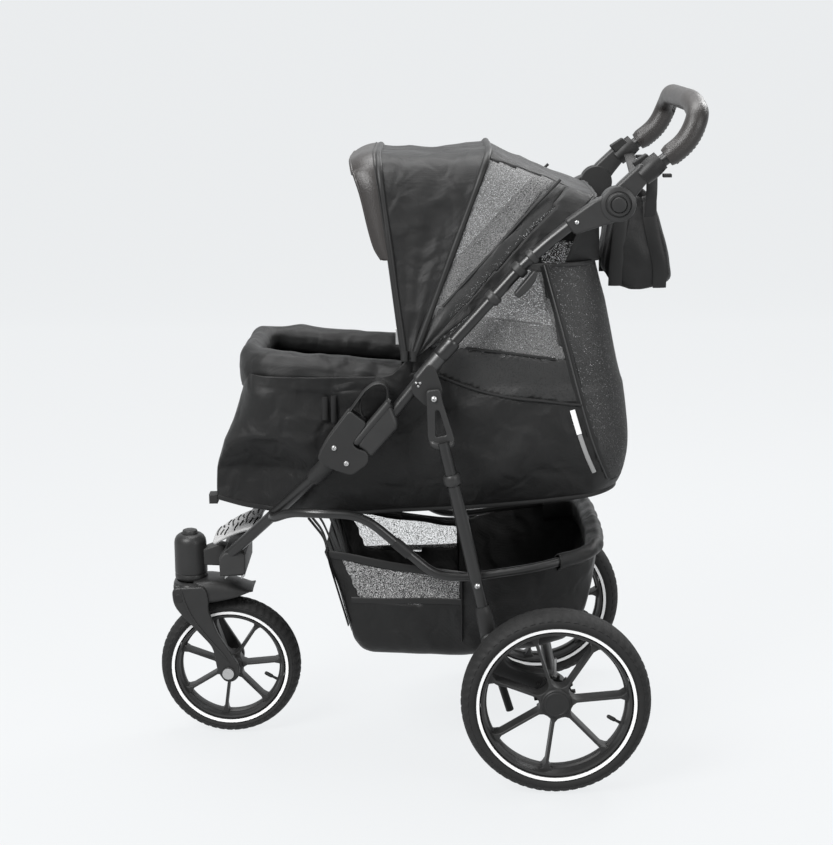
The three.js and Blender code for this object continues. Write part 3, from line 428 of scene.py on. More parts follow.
def wheel_pieces(name, centre, wheel, body, side, nodes, phase):
    half_profile = tyre_profile(wheel)
    profile = [(r, -w) for r, w in half_profile] + [(r, w) for r, w in reversed(half_profile)]
    count, segments = len(profile), wheel["blocks"] * 5
    vertices, faces = [], []
    for i in range(segments):
        angle = 2 * math.pi * i / segments
        for r, along in profile:
            r -= tread(r, along, angle, wheel)
            vertices.append(centre + Vector((along, r * math.cos(angle), r * math.sin(angle))) * MM)
    for i in range(segments):
        for j in range(count):
            a, b = i * count + j, i * count + (j + 1) % count
            on = ((i + 1) % segments) * count
            faces.append((a, b, on + (j + 1) % count, on + j))
    piece(f"{name}_tyre", vertices, faces, tyre_rubber, body, "tyre", [nodes["tyre"]], sharp=50)

    rim_r, half = wheel["rim"], wheel["width"] / 2
    for end, face_side in (("outer", 1), ("inner", -1)):
        edge = [(wheel["stripe"] - 2.3, half - 2.4), (wheel["stripe"] + 2.3, half - 1.3)]
        ring = [(r, face_side * (w + 0.7)) for r, w in edge]
        ring += [(r, face_side * (w - 0.6)) for r, w in reversed(edge)]
        piece(f"{name}_stripe_{end}", *turned(ring, centre, 120), white_ring, body, "rim_plastic")

    lip = half - 5
    channel = [
        (rim_r - 4.5, lip + 1.5), (rim_r - 6, lip + 2), (rim_r - 8.5, lip + 1), (rim_r - 10.5, lip - 4),
        (rim_r - 11, 6), (rim_r - 14, 4), (rim_r - 14, -4), (rim_r - 11, -6), (rim_r - 10.5, 4 - lip),
        (rim_r - 8.5, -lip - 1), (rim_r - 6, -lip - 2), (rim_r - 4.5, -lip - 1.5), (rim_r - 4.5, 0),
    ]
    piece(f"{name}_rim", *turned(channel, centre, 120), rim_plastic, body, "rim_plastic", [nodes["rim"]])

    blades = 7
    star = []
    hub_r, blade, rim_in = wheel["hub"], 2.3, rim_r - 10
    for i in range(blades):
        way = phase + 2 * math.pi * i / blades
        gap = math.pi / blades
        for r, offset in (
            (hub_r + 1, -gap), (hub_r + 2.5, -gap * 0.5), (hub_r + 8, -gap * 0.17), (hub_r + 17, None),
            (rim_in - 12, None), (rim_in - 4, -0.055), (rim_in + 1.5, -0.11),
        ):
            spread = offset if offset is not None else -blade / r
            star.append((r, way + spread))
        for r, offset in (
            (rim_in + 1.5, 0.11), (rim_in - 4, 0.055), (rim_in - 12, None), (hub_r + 17, None),
            (hub_r + 8, gap * 0.17), (hub_r + 2.5, gap * 0.5),
        ):
            spread = offset if offset is not None else blade / r
            star.append((r, way + spread))
    centre_y, centre_z = (centre.y - axle_y) / MM, centre.z / MM
    outline = [(centre_y + r * math.cos(a), centre_z + r * math.sin(a)) for r, a in star]
    middle_x = centre.x / MM
    plate(f"{name}_spokes", [outline], middle_x - wheel["deep"], middle_x + wheel["deep"], rim_plastic,
          bevel=1.4, body=body, slot="rim_plastic")

    out = wheel["hub_out"]
    boss = [
        (0.01, -out), (hub_r - 3, -out), (hub_r - 1, -out + 1.5), (hub_r, -out + 4), (hub_r, out - 4),
        (hub_r - 1, out - 1.5), (hub_r - 3, out), (0.01, out),
    ]
    lathe(f"{name}_hub", boss, centre, 48, rim_plastic, body=body, slot="rim_plastic")
    if side:
        cap_at = side * out
        cap = [
            (0.01, cap_at), (hub_r - 4, cap_at), (hub_r - 4, cap_at + side * 2.2),
            (hub_r - 5.2, cap_at + side * 3.4), (hub_r - 8, cap_at + side * 3.8),
            (hub_r - 8.6, cap_at + side * 3.3), (0.01, cap_at + side * 3.9),
        ]
        lathe(f"{name}_cap", cap, centre, 60, black_plastic, body=body, slot="hard_plastic", replaces=[nodes["cap"]])

    # the valve stands on the rim and points at the hub
    way = Vector((0, math.cos(wheel["valve"]), math.sin(wheel["valve"])))
    lean = Vector((0, -way.z, way.y))
    foot = centre + way * (rim_r - 11) * MM
    tip = centre + way * (rim_r - 38) * MM + lean * 4 * MM
    stem = even([foot, tip], 2)
    valve_r = through((0, 2.6), (0.35, 2.3), (0.45, 2.3), (0.5, 3.3), (0.95, 3.1), (1, 2))
    piece(f"{name}_valve", *tube(stem, valve_r, 14), black_plastic, body, "hard_plastic")


rear = {"radius": 152.5, "width": 54, "rim": 125, "hub": 25, "hub_out": 19, "deep": 15, "blocks": 64,
        "stripe": 125.5, "valve": math.radians(-21)}
front = {"radius": 122, "width": 48, "rim": 98.5, "hub": 21, "hub_out": 22, "deep": 13, "blocks": 54,
         "stripe": 99, "valve": math.radians(-21)}
blade_phase = math.radians(5)
hands = (("left", 1), ("right", -1))
for end, sign in hands:
    nodes_here = {"tyre": f"rear_tyre_{end}", "rim": f"rear_rim_{end}", "cap": f"hub_cap_{end}"}
    wheel_pieces(f"rear_{end}", at(267 * sign, 0, 152.5), rear, f"rear_wheel_{end}", sign, nodes_here, blade_phase)
wheel_pieces("front_wheel", at(0, -549, 122), front, "front_wheel", 0,
             {"tyre": "front_tyre", "rim": "front_rim"}, blade_phase)

# ---- front frame tubes ------------------------------------------------------------------------------
# Round powder-coated tubes from the front casting up to the folding knuckles, 19 mm across, each
# riveted to the basket rail on the way.
def powder_coat():
    # satin black powder coat: a fine orange peel, slightly greyer where dust and hands wear it
    paint = Paint("black_powder_coat", specular_ior_level=0.45, coat_weight=0.06, coat_roughness=0.3)
    peel, wear = paint.noise(900), paint.noise(14)
    paint.set(Base_Color=paint.mix(wear, grey(0.006), grey(0.012)), Roughness=0.28 + 0.14 * wear)
    paint.bump(peel, 0.05)
    return paint.material


def bright_metal(name, tone, roughness):
    paint = Paint(name, metallic=0.95)
    scratch = paint.noise(260)
    paint.set(Base_Color=paint.mix(scratch, grey(tone * 0.7), grey(tone)), Roughness=roughness + 0.2 * scratch)
    return paint.material


black_coat = powder_coat()
zinc = bright_metal("zinc_plated_steel", 0.55, 0.28)
black_metal = bright_metal("black_nickel", 0.09, 0.35)


def path(*points):
    return [at(*p) for p in points]


def both(build, name, body, nodes=()):
    """A piece on the left side and its mirror copy on the right. body may hold {side}."""
    left = build(f"{name}_left")
    mesh = left.data.copy()
    mesh.transform(Matrix.Diagonal((-1, 1, 1, 1)))
    mesh.flip_normals()
    for side, made in (("left", left), ("right", placed(f"{name}_right", mesh))):
        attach(made, body.format(side=side))
        if nodes:
            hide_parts(*[f"{n}_{side}" for n in nodes])


def both_tubes(name, line, radius, material, body, slot="hard_plastic", nodes=(), sides=28, **more):
    both(lambda n: piece(n, *tube(line, radius, sides, **more), material), name, body, nodes)


def both_screws(name, place, out, radius, body, material=zinc, nodes=()):
    """A domed cross-head screw a side, facing out along x, with its recess."""
    dome = [(0.01, 0), (radius, 0), (radius, out * 0.8), (radius * 0.8, out * 1.7), (radius * 0.45, out * 2.1),
            (radius * 0.3, out * 1.2), (0.01, out * 1.1)]
    both(lambda n: lathe(n, dome, at(*place), 24, material), name, body, nodes)


tube_radius = 9.5
lower_line = path((55, -541, 335), (168.4, -378.2, 505))
both_tubes("lower_tube", even(lower_line, 10), tube_radius, black_coat, "front_frame", "black_tube", ["lower_tube"])
both_screws("rail_rivet", (123.5, -457.8, 421.9), 2.4, 5.5, "front_frame")

# ---- front casting and footrest ---------------------------------------------------------------------
# A cast cross piece holds both tubes to the steering head. The pale ribbed plate on top is the footrest.
cast = moulded("cast_black", 0.016, 0.028, 0.5, 700)
cross_edge = [(-556, 301), (-513, 304), (-512, 338), (-520, 345), (-547, 342), (-557, 332)]
plate("casting_cross", [cross_edge], -67, 67, cast, bevel=3, body="front_frame", slot="black_bracket",
      replaces=["front_casting"])
neck_edge = [(-590, 305), (-548, 303), (-546, 338), (-566, 342), (-590, 333)]
plate("casting_neck", [neck_edge], -15, 15, cast, bevel=3, body="front_frame", slot="black_bracket")
rib_edge = [(-553, 299), (-516, 300), (-513, 343), (-520, 348), (-556, 330)]
for number, side_x in enumerate((-58, -30, 30, 58)):
    plate(f"casting_rib_{number}", [rib_edge], side_x - 2.5, side_x + 2.5, cast, bevel=1, round_=4,
          body="front_frame", slot="black_bracket")
peg_radius = through((0, 3.4), (0.6, 3), (1, 1.4))
for number, (peg_y, peg_x) in enumerate(((-548, 36), (-520, 36), (-548, -36), (-520, -36))):
    peg = path((peg_x, peg_y, 304), (peg_x, peg_y + 1, 294), (peg_x, peg_y - 3, 288))
    piece(f"casting_peg_{number}", *tube(even(peg, 2), peg_radius, 14), zinc, body="front_frame", slot="steel")


def pale_rubber():
    paint = Paint("footrest_grey", coat_roughness=0.5)
    worn = paint.noise(40)
    paint.set(Base_Color=paint.mix(worn, grey(0.30), grey(0.42)), Roughness=0.55 + 0.15 * worn)
    return paint.material


def grid(rows):
    """A surface over rows of points."""
    height, width = len(rows), len(rows[0])
    vertices = [p for row in rows for p in row]
    faces = []
    for i in range(height - 1):
        for j in range(width - 1):
            a = i * width + j
            faces.append((a, a + 1, a + width + 1, a + width))
    return vertices, faces


def thicken(made, thick, levels=0):
    """Rounds a sheet off and gives it its thickness, half on each side."""
    if levels:
        soften = made.modifiers.new("soften", "SUBSURF")
        soften.levels = soften.render_levels = levels
    skin = made.modifiers.new("thickness", "SOLIDIFY")
    skin.thickness, skin.offset = thick * MM, 0
    return made


def cloth_piece(name, rows, material, thick=1.6, levels=1, **more):
    return thicken(piece(name, *grid(rows), material, sharp=60, **more), thick, levels)


def merged(*parts):
    vertices, faces = [], []
    for more_vertices, more_faces in parts:
        start = len(vertices)
        vertices += list(more_vertices)
        faces += [tuple(start + i for i in face) for face in more_faces]
    return vertices, faces


def step_point(across, along, lift):
    """A place on the footrest: across -1 to 1, along 0 at the front to 1 at the back."""
    half = 44 + 20 * min(1, along * 1.15)
    y, z = -567 + 80 * along, 349 + 35 * along + 5 * math.sin(math.pi * along)
    crown = 2.5 * (1 - across * across)
    return at(across * half, y - 0.4 * lift, z + crown + 0.9 * lift)


def fading(radius, slope, least):
    """A tube's radius that thins out towards both ends."""
    return lambda s: radius * min(1, slope * s + least, slope * (1 - s) + least)


step_rows = [[step_point(-1 + k / 8, j / 14, 2.6) for k in range(17)] for j in range(15)]
cloth_piece("footrest_plate", step_rows, pale_rubber(), 5, 1, body="front_frame", slot="grey_plastic",
            replaces=["step_plate"])
ridges = []
for row in range(9):
    share = 0.07 + 0.105 * row
    reach_out = (0.9, 0.62)[row % 2]
    spans = [(-reach_out, -0.12), (0.1, reach_out)] if row % 3 else [(-reach_out, reach_out * 0.55)]
    for start, end in spans:
        ridge = [step_point(start + (end - start) * k / 9, share + 0.02 * math.sin(5 * (start + k / 9)), 5.2)
                 for k in range(10)]
        ridges.append(tube(ridge, fading(1.9, 8, 0.2), 8, squash=0.7))
piece("footrest_ridges", *merged(*ridges), black_plastic, body="front_frame", slot="hard_plastic")

# ---- steering head, fork and mudguard ---------------------------------------------------------------
# A moulded cylinder with the round swivel lock button on top. Under it the hollow two-armed fork turns,
# its hood spreading back over the tyre as a short mudguard, and a bolt through both arms holds the wheel.
def bent(points, reach, step=6):
    """Straight runs whose corners are rounded off over the given reach, in millimetres."""
    points = [Vector(p) for p in points]
    reach, step = reach * MM, step * MM
    line = [points[0]]
    for before, corner, after in zip(points, points[1:], points[2:]):
        back, on = before - corner, after - corner
        r = min(reach, back.length * 0.48, on.length * 0.48)
        start, end = corner + back.normalized() * r, corner + on.normalized() * r
        steps = max(4, round(1.6 * r / step))
        for k in range(steps + 1):
            t = k / steps
            line.append(start * (1 - t) ** 2 + corner * 2 * t * (1 - t) + end * t * t)
    line.append(points[-1])
    return line


fork_plastic = moulded("fork_plastic", 0.013, 0.022, 0.36, 1800)
sleeve_plastic = moulded("sleeve_plastic", 0.017, 0.026, 0.36)
head = [(0.01, 279), (26, 279), (27.4, 280.5), (28, 283), (28, 288), (27.3, 289), (27.3, 290.5), (28, 291.5),
        (27.6, 343), (26.6, 349), (24, 354), (20, 357.4), (15.6, 358.6), (15, 357.4), (0.01, 357.4)]
lathe("steering_head", [(r, z - 279) for r, z in head], at(0, -613, 279), 64, fork_plastic, "z",
      body="front_frame", slot="hard_plastic", replaces=["steering_head"])
button = [(0.01, 355.5), (13, 355.5), (13, 362.5), (12, 364.6), (9, 365.8), (0.01, 366)]
lathe("swivel_button", [(r, z - 355) for r, z in button], at(0, -613, 355), 48, sleeve_plastic, "z",
      body="swivel_lock", slot="hard_plastic", replaces=["swivel_lock_button"])

on_fork = {"body": "fork", "slot": "hard_plastic"}
arm_edge = [(-642, 274), (-584, 276), (-579, 250), (-581, 234), (-566, 191), (-541, 150), (-530, 132), (-530, 116),
            (-540, 104), (-556, 104), (-568, 122), (-575, 167), (-600, 196), (-625, 223), (-640, 244)]
arm_ridge = [(-626, 274), (-621, 250), (-608, 219), (-584, 186), (-560, 157), (-546, 139)]
for end, sign in hands:
    x_pair = sorted((sign * 36, sign * 47.5))
    plate(f"fork_arm_{end}", [arm_edge], *x_pair, fork_plastic, bevel=2.6, round_=12,
          replaces=["fork"] if sign > 0 else [], **on_fork)
    ridge = bent(path(*[(sign * 47.6, y, z) for y, z in arm_ridge]), 20)
    piece(f"fork_ridge_{end}", *tube(even(ridge, 3), fading(2.1, 6, 0.3), 12), fork_plastic, **on_fork)
    plug = [(0.01, 0), (7.6, 0), (7.6, sign * 0.6), (7, sign * 1.1), (0.01, sign * 1.1)]
    lathe(f"fork_plug_{end}", plug, at(sign * 47.4, -630, 256), 32, black_plastic, **on_fork)
    bolt = [(0.01, 0), (8.5, 0), (8.5, sign * 2), (7, sign * 4.6), (3.4, sign * 5.4), (3, sign * 4), (0.01, sign * 4)]
    lathe(f"fork_bolt_{end}", bolt, at(sign * 47.5, -549, 122), 32, zinc, body="fork", slot="steel")
crown_rings = []
for lift, spread in ((262, 0.94), (265, 1), (272, 1), (277, 0.93), (279, 0.8)):
    crown_rings.append([at(47.5 * spread * math.cos(a), -613 + 31 * spread * math.sin(a), lift)
                        for a in [2 * math.pi * k / 40 for k in range(41)]])
piece("fork_crown", *grid(crown_rings), fork_plastic, **on_fork)


def block(name, low, high, material, bevel=1.0, **more):
    """A box between two corners, in millimetres."""
    (x0, y0, z0), (x1, y1, z1) = low, high
    plate(name, [[(y0, z0), (y1, z0), (y1, z1), (y0, z1)]], x0, x1, material, bevel=bevel, **more)


block("fork_bridge", (-40, -640, 256), (40, -586, 276), fork_plastic, bevel=4, **on_fork)

guard_top = through((0, 281), (0.3, 282), (0.65, 275), (1, 263))
guard_low = through((0, 246), (0.35, 247), (0.7, 253), (0.92, 260), (1, 262.6))
guard_wide = through((0, 44), (0.3, 40), (0.8, 33), (1, 29))
shoulder, crown_drop = 0.7, 3.2
guard_rows = []
for j in range(19):
    s = j / 18
    top, low, wide = guard_top(s), guard_low(s), guard_wide(s)
    row = []
    for k in range(17):
        t = -1 + k / 8
        if abs(t) < shoulder:
            x, z = wide * (t / 0.82), top - crown_drop * (abs(t) / shoulder) ** 2
        else:
            turn = min(1, (abs(t) - shoulder) / 0.2) * math.pi / 2
            x = wide * math.copysign(0.854 + 0.146 * math.sin(turn), t)
            z = top - crown_drop - (top - crown_drop - low) * ((abs(t) - shoulder) / 0.3) ** 1.1
        row.append(at(x, -606 + 101 * s, max(z, low)))
    guard_rows.append(row)
cloth_piece("mudguard", guard_rows, fork_plastic, 2.6, 1, replaces=["mudguard"], **on_fork)

# ---- folding knuckles -------------------------------------------------------------------------------
# Two moulded halves a side. The lower one carries the front tube and two screws, the upper one the side
# tube's socket and a finger loop with the curved fold trigger inside it.
def both_plates(name, outlines, x_pair, material, body, bevel, round_=0, nodes=()):
    both(lambda n: plate(n, outlines, *x_pair, material, bevel=bevel, round_=round_), name, body, nodes)


knuckle_plastic = moulded("knuckle_plastic", 0.012, 0.019, 0.42)
clevis_edge = [(-377, 542), (-361.5, 570.4), (-325.3, 618.2), (-296.9, 596.3), (-313.7, 573), (-320.7, 562.7),
               (-312.4, 554.9), (-298.2, 551), (-294.8, 539.4), (-298.2, 529.1), (-322.7, 511.5), (-351.2, 520.8),
               (-371.8, 533)]
both_plates("clevis_cheek_0", [clevis_edge], (205.5, 212), knuckle_plastic, "front_frame", 2, 7, nodes=["fold_clevis"])
both_plates("clevis_cheek_1", [clevis_edge], (178, 184.5), knuckle_plastic, "front_frame", 2, 7)
core_edge = [(-372, 540), (-340, 588), (-326, 592), (-330, 560), (-318, 545), (-312, 528), (-324, 518), (-350, 525)]
both_plates("clevis_core", [core_edge], (184, 206), knuckle_plastic, "front_frame", 2, 8)
socket_line = path((161, -386.7, 495.6), (178, -366.5, 518.4), (186, -350, 535))
both_tubes("clevis_socket", even(socket_line, 3), through((0, 12.4), (0.08, 13.6), (1, 14.5)), knuckle_plastic,
           "front_frame")
both_screws("knuckle_screw_0", (211.4, -350, 557.5), 1.6, 4.6, "front_frame", nodes=["fold_bolt"])
both_screws("knuckle_screw_1", (211.4, -331, 532), 1.6, 4.6, "front_frame")

tongue_edge = [(-313.7, 560), (-300, 589), (-288, 603), (-268, 626), (-262.5, 640), (-257.6, 622), (-248.6, 598),
               (-248.6, 588), (-289.1, 542), (-296, 543), (-301, 550)]
both_plates("tongue_body", [tongue_edge], (180, 210.5), sleeve_plastic, "upper_frame", 6, 5, nodes=["fold_tongue"])
ridge_line = path((205.2, -317, 563), (205.2, -296, 588), (205.2, -262, 628))
both_tubes("tongue_ridge", even(ridge_line, 3), lambda s: 7.2 * min(1, 12 * s + 0.75), sleeve_plastic, "upper_frame",
           sides=20)
loop_line = path((196, -324, 614), (196, -299.4, 648.2), (196, -286.5, 657.4), (196, -276.5, 659.8), (196, -267, 656),
                 (196, -263.6, 646.5), (196, -263.4, 634), (196, -268.4, 620.4), (196, -294, 591))
both_tubes("finger_loop", even(bent(loop_line, 12), 3), 2.6, knuckle_plastic, "upper_frame", sides=16, squash=4.2,
           out=Vector((0, -0.75, 0.66)))
trigger_line = path((195, -299, 646.5), (195, -305.5, 636), (195, -308.6, 624), (195, -307, 611), (195, -304, 606))
both_tubes("trigger", even(bent(trigger_line, 10), 2.5), 1.9, black_plastic, "fold_trigger_{side}",
           nodes=["fold_trigger"], sides=14, squash=4.0, out=Vector((0, 1, 0.2)))

# ---- side tubes -------------------------------------------------------------------------------------
# From the knuckles up to the handle's joints. Moulded rings and a strap latch sit on them.
def part_of(line, start, end, step=4):
    """The run of a line between two shares of its length."""
    fine = even(line, 1)
    return even(fine[round(start * (len(fine) - 1)):round(end * (len(fine) - 1)) + 1], step)


side_line = even(bent(path((195, -280.4, 579.6), (195, -190, 691), (195, -37, 859), (195, 36, 916.6)), 45), 5)
both_tubes("side_tube", side_line, tube_radius, black_coat, "upper_frame", "black_tube", ["side_tube"])
ring_shape = through((0, 12.2), (0.12, 13.9), (0.5, 14.1), (0.88, 13.9), (1, 12.2))
for number, (start, end, thick, coat) in enumerate((
        (0.335, 0.41, 13.4, black_coat), (0.592, 0.622, 13.4, sleeve_plastic), (0.722, 0.752, 13.8, knuckle_plastic),
        (0.786, 0.81, 12.6, sleeve_plastic))):
    both_tubes(f"side_ring_{number}", part_of(side_line, start, end, 2), lambda s: ring_shape(s) * thick / 14, coat,
               "upper_frame")
latch_edge = [(-66, 800), (-46, 823), (-34, 838), (-27, 833), (-33, 818), (-47, 801), (-58, 793)]
both_plates("side_latch", [latch_edge], (190, 211), sleeve_plastic, "upper_frame", 2.4, 6)

# ---- leg brackets and leg links ---------------------------------------------------------------------
# A pressed steel bracket is riveted round each side tube and the rear leg's moulded link swings on its
# shouldered screw.
wrap_shape = through((0, 11.3), (0.06, 12.4), (0.94, 12.4), (1, 11.3))
both_tubes("bracket_wrap", part_of(side_line, 0.225, 0.345, 3), wrap_shape, black_metal, "upper_frame",
           "black_bracket")
bracket_edge = [(-228, 655), (-199, 691), (-189, 685), (-177, 650), (-180, 624), (-203, 622), (-224, 642)]
both_plates("leg_bracket", [bracket_edge], (204.4, 209), knuckle_plastic, "upper_frame", 1, 7,
            ["leg_bracket"])
for number, (y, z) in enumerate(((-219, 661), (-212.5, 660.5), (-215.6, 655.5))):
    both_screws(f"bracket_rivet_{number}", (208.8, y, z), 0.7, 2.1, "upper_frame")
link_edge = [(-203, 650), (-181, 652), (-177, 630), (-161, 579), (-158, 568), (-167, 560), (-196, 560), (-201, 574)]
link_slot = [(-189, 618), (-183, 618), (-171, 578), (-189, 575)]
both_plates("leg_link", [rounded(link_edge, 6), rounded(link_slot, 4)], (211, 219), sleeve_plastic, "rear_legs", 1.8)
both_screws("leg_pivot", (218.6, -191, 637), 2.2, 5, "rear_legs")
lip_line = path((216, -197.5, 568), (217.5, -189, 561.5), (218.5, -178, 559), (217.5, -167, 561.5), (216, -160, 567))
both_tubes("leg_link_lip", even(bent(lip_line, 8), 2), lambda s: 6.4 * math.sqrt(max(0.12, 1 - (2 * s - 1) ** 4)),
           sleeve_plastic, "rear_legs", sides=20)

# ---- rear legs --------------------------------------------------------------------------------------
# Each leg is a bent tube clamped by a moulded collar. The basket rail crosses it at a rivet.
leg_line = even(bent(path((220, -177, 567), (220, -124.2, 332.2), (220, -92, 190.5)), 60), 5)
both_tubes("rear_leg", leg_line, tube_radius, black_coat, "rear_legs", "black_tube", ["rear_leg"])
both_tubes("leg_collar_0", part_of(leg_line, 0.14, 0.185, 3), lambda s: ring_shape(s) * 14 / 14.1, sleeve_plastic,
           "rear_legs")
both_tubes("leg_collar_1", part_of(leg_line, 0.19, 0.6, 3), 10.6, black_coat, "rear_legs", "black_tube")
both_screws("leg_rivet", (229.6, -124, 333), 2.4, 5, "rear_legs")
foot_edge = [(-120, 250), (-97, 257), (-90, 240), (-74, 202), (-40, 190), (4, 181), (20, 169), (24, 150), (10, 133),
             (-14, 136), (-60, 158), (-96, 166), (-109, 181)]
both_plates("leg_foot", [foot_edge], (206, 238.5), knuckle_plastic, "rear_legs", 5, 12, nodes=["leg_foot"])
both_tubes("leg_socket", part_of(leg_line, 0.72, 0.99, 3), through((0, 11.5), (0.1, 13.5), (1, 16)), knuckle_plastic,
           "rear_legs")
both_screws("foot_screw", (238.2, -104, 243), 1.4, 4.5, "rear_legs", black_metal)

# ---- handle joints ----------------------------------------------------------------------------------
# A box-shaped sleeve ends each side tube in a toothed disc. The matching disc on the handle turns against
# it, and the round button in the middle frees the teeth.
def both_discs(name, profile, segments, material, body, nodes=()):
    both(lambda n: lathe(n, profile, at(0, 96, 938), segments, material), name, body, nodes)


sleeve_edge = [(13.5, 913), (60, 945), (84, 955), (110, 944), (112, 920), (96, 912), (29, 891)]
both_plates("handle_sleeve", [sleeve_edge], (183, 206.5), sleeve_plastic, "upper_frame", 4, 5, nodes=["handle_arm"])
both_screws("sleeve_screw", (206, 32, 911), 1.3, 3.6, "upper_frame")
inner_disc = [(0.01, 176), (26.5, 176), (27, 177), (27, 194), (0.01, 194)]
both_discs("joint_disc", inner_disc, 64, knuckle_plastic, "upper_frame")
outer_disc = [(0.01, 195.3), (27.5, 195.3), (27.5, 206), (26.9, 207.6), (25, 208.6), (20.5, 209.6), (19.4, 208.8),
              (18.2, 209.9), (17.6, 212.8), (16.4, 213.9), (13.1, 214), (12.6, 211.5), (0.01, 211.5)]
both_discs("joint_knob", outer_disc, 80, sleeve_plastic, "handle")
button_face = [(0.01, 209.5), (12, 209.5), (12, 215.4), (11, 217.2), (8, 217.9), (0.01, 218)]
both_discs("tilt_button", button_face, 56, knuckle_plastic, "tilt_button_{side}", ["tilt_button"])

# ---- handle -----------------------------------------------------------------------------------------
# One bent tube across the back in a padded sleeve of stitched synthetic leather, with flat moulded ends.
def arch(points, reach):
    """A bent line through the points of the left side and on through their mirror images."""
    return bent(path(*points, *[(-x, y, z) for x, y, z in reversed(points)]), reach)


def leather():
    paint = Paint("stitched_leather", specular_ior_level=0.4, coat_weight=0.1, coat_roughness=0.4)
    pores, warm, rub = paint.cells(520), paint.noise(7), paint.noise(60)
    paint.set(Base_Color=paint.mix(warm, (0.012, 0.0115, 0.0115, 1), (0.026, 0.022, 0.02, 1)),
              Roughness=0.36 + 0.16 * rub)
    paint.bump(pores * 0.6 + rub * 0.5, 0.5)
    return paint.material


hide = leather()
handle_line = arch([(192, 112, 956), (192, 142, 986), (192, 202, 1032), (190, 219, 1072), (130, 217, 1090)], 45)
piece("handle_bar", *tube(even(handle_line, 6), 10, 28), black_coat, body="handle", slot="black_tube",
      replaces=["handle_bar"])
end_edge = [(84, 952), (92, 966), (131, 1002), (152, 985), (124, 950), (112, 930)]
both_plates("handle_end", [end_edge], (181.5, 203.5), sleeve_plastic, "handle", 4.5, 8)
whole = even(handle_line, 3)
grip_line = whole[round(0.112 * len(whole)):round(0.888 * len(whole)) + 1]
piece("handle_grip", *tube(grip_line, fading(17.4, 9, 0.86), 32), hide, body="handle", slot="grip",
      replaces=["handle_grip"])
stitches = []
seam_way, seam_depth, stitch_half = Vector((0, 0.45, -0.9)), 17.2 * MM, 1.9 * MM
for i in range(3, len(grip_line) - 4, 2):
    along = (grip_line[i + 1] - grip_line[i - 1]).normalized()
    under = (seam_way - along * along.dot(seam_way)).normalized()
    across = along.cross(under)
    for hand in (-1, 1):
        low = grip_line[i] + under * seam_depth + across * hand * 1.6 * MM
        ends = [low - along * stitch_half, low + along * stitch_half + across * hand * 0.7 * MM]
        stitches.append(tube(ends, 0.75, 6))
piece("grip_stitches", *merged(*stitches), moulded("seam_thread", 0.006, 0.01, 0.8), body="handle", slot="grip",
      smooth=False)

# ---- cloth and net ----------------------------------------------------------------------------------
# Tight black polyester with a fine weave and soft creases, a see-through grey net whose holes are cut by
# transparency, and narrow webbing and piping.
def woven(name, low, high, depth, pitch=1.5):
    paint = Paint(name, specular_ior_level=0.3, sheen_weight=0.02, sheen_roughness=0.5)
    thread = paint.x.wave(1000 / pitch) * 0.5 + paint.y.wave(1000 / pitch) * paint.z.wave(1000 / pitch)
    cloud = paint.noise(11)
    soft = paint.noise(24.0, 1.5, 0.4, 0.6)
    paint.set(Base_Color=paint.mix(cloud, grey(low), grey(high)), Roughness=0.4 + 0.18 * cloud)
    paint.bump(thread * 0.012 + soft, depth * 2)
    return paint.material


def netting(name, tone, cover, pitch):
    """Open net with a round hole in each cell. cover is the share that is thread."""
    paint = Paint(name, roughness=0.6)
    hole = (-math.log(cover) / 4.19) ** (1 / 3)
    thread, cloud = paint.cells(1000 / pitch) > hole, paint.noise(16)
    paint.set(Base_Color=paint.mix(cloud, grey(tone), grey(tone * 1.25)), Alpha=thread * 1.0)
    return paint.material


black_cloth = woven("black_polyester", 0.0035, 0.0065, 3.4)
lining = woven("black_lining", 0.0035, 0.006, 1.6)
webbing = woven("black_webbing", 0.007, 0.012, 0.5, 2.4)
net_light = netting("open_net", 0.12, 0.55, 1.15)
net_dark = netting("dense_net", 0.012, 0.86, 1.6)
door_net = netting("door_net", 0.02, 0.74, 1.5)
reflect_white = reflective("reflective_strip_white", 0.8)
reflect_grey = reflective("reflective_strip_grey", 0.25)


def patch(name, rows, keep, material, thick=1.4, levels=1, **more):
    """The faces of a surface whose middle passes keep(x, y, z), with the sizes in millimetres."""
    vertices, faces = grid(rows)
    kept = []
    for face in faces:
        centre = sum((vertices[i] for i in face), Vector()) / len(face)
        if keep(centre.x / MM, (centre.y - axle_y) / MM, centre.z / MM):
            kept.append(face)
    used = sorted({i for face in kept for i in face})
    place = {old: new for new, old in enumerate(used)}
    faces = [tuple(place[i] for i in face) for face in kept]
    return thicken(piece(name, [vertices[i] for i in used], faces, material, sharp=70, **more), thick, levels)


def finished(made):
    mesh = evaluated(made)
    made.modifiers.clear()
    made.data = mesh
    return made


def cord_of(points, radius, reach=20, sides=10, squash=1.0, out=None, step=5):
    return tube(even(bent(path(*points), reach), step), radius, sides, squash=squash, out=out)


cabin_keep, tray_keep = 0.25, 0.17


def folding(made, keep=cabin_keep):
    """Cloth hung from the basket rail, with its modifiers put in and a mesh of its own."""
    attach(made, "basket_rail")
    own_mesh(finished(made), "fold", (0, 0.255, 0.967), at(0, -457.8, 421.9), keep)
    return made


# ---- cabin body -------------------------------------------------------------------------------------
# One sewn shell: black cloth to the piping, light net windows with a dense net band under them, and a
# zipped net door that bulges out behind. The front rim is rolled over a padded hoop.
def fold_noise(point, scale, seed=0.0):
    """A smooth field from -1 to 1 that wrinkles follow."""
    return noise.noise(Vector(point) * (1000 / scale) + Vector((seed, seed * 1.7, -seed)))


def crease(point, scale, seed=0.0):
    """Broad hollows between narrow raised creases, from -1 to 1."""
    return 1 - 3.2 * abs(fold_noise(point, scale, seed)) ** 0.8


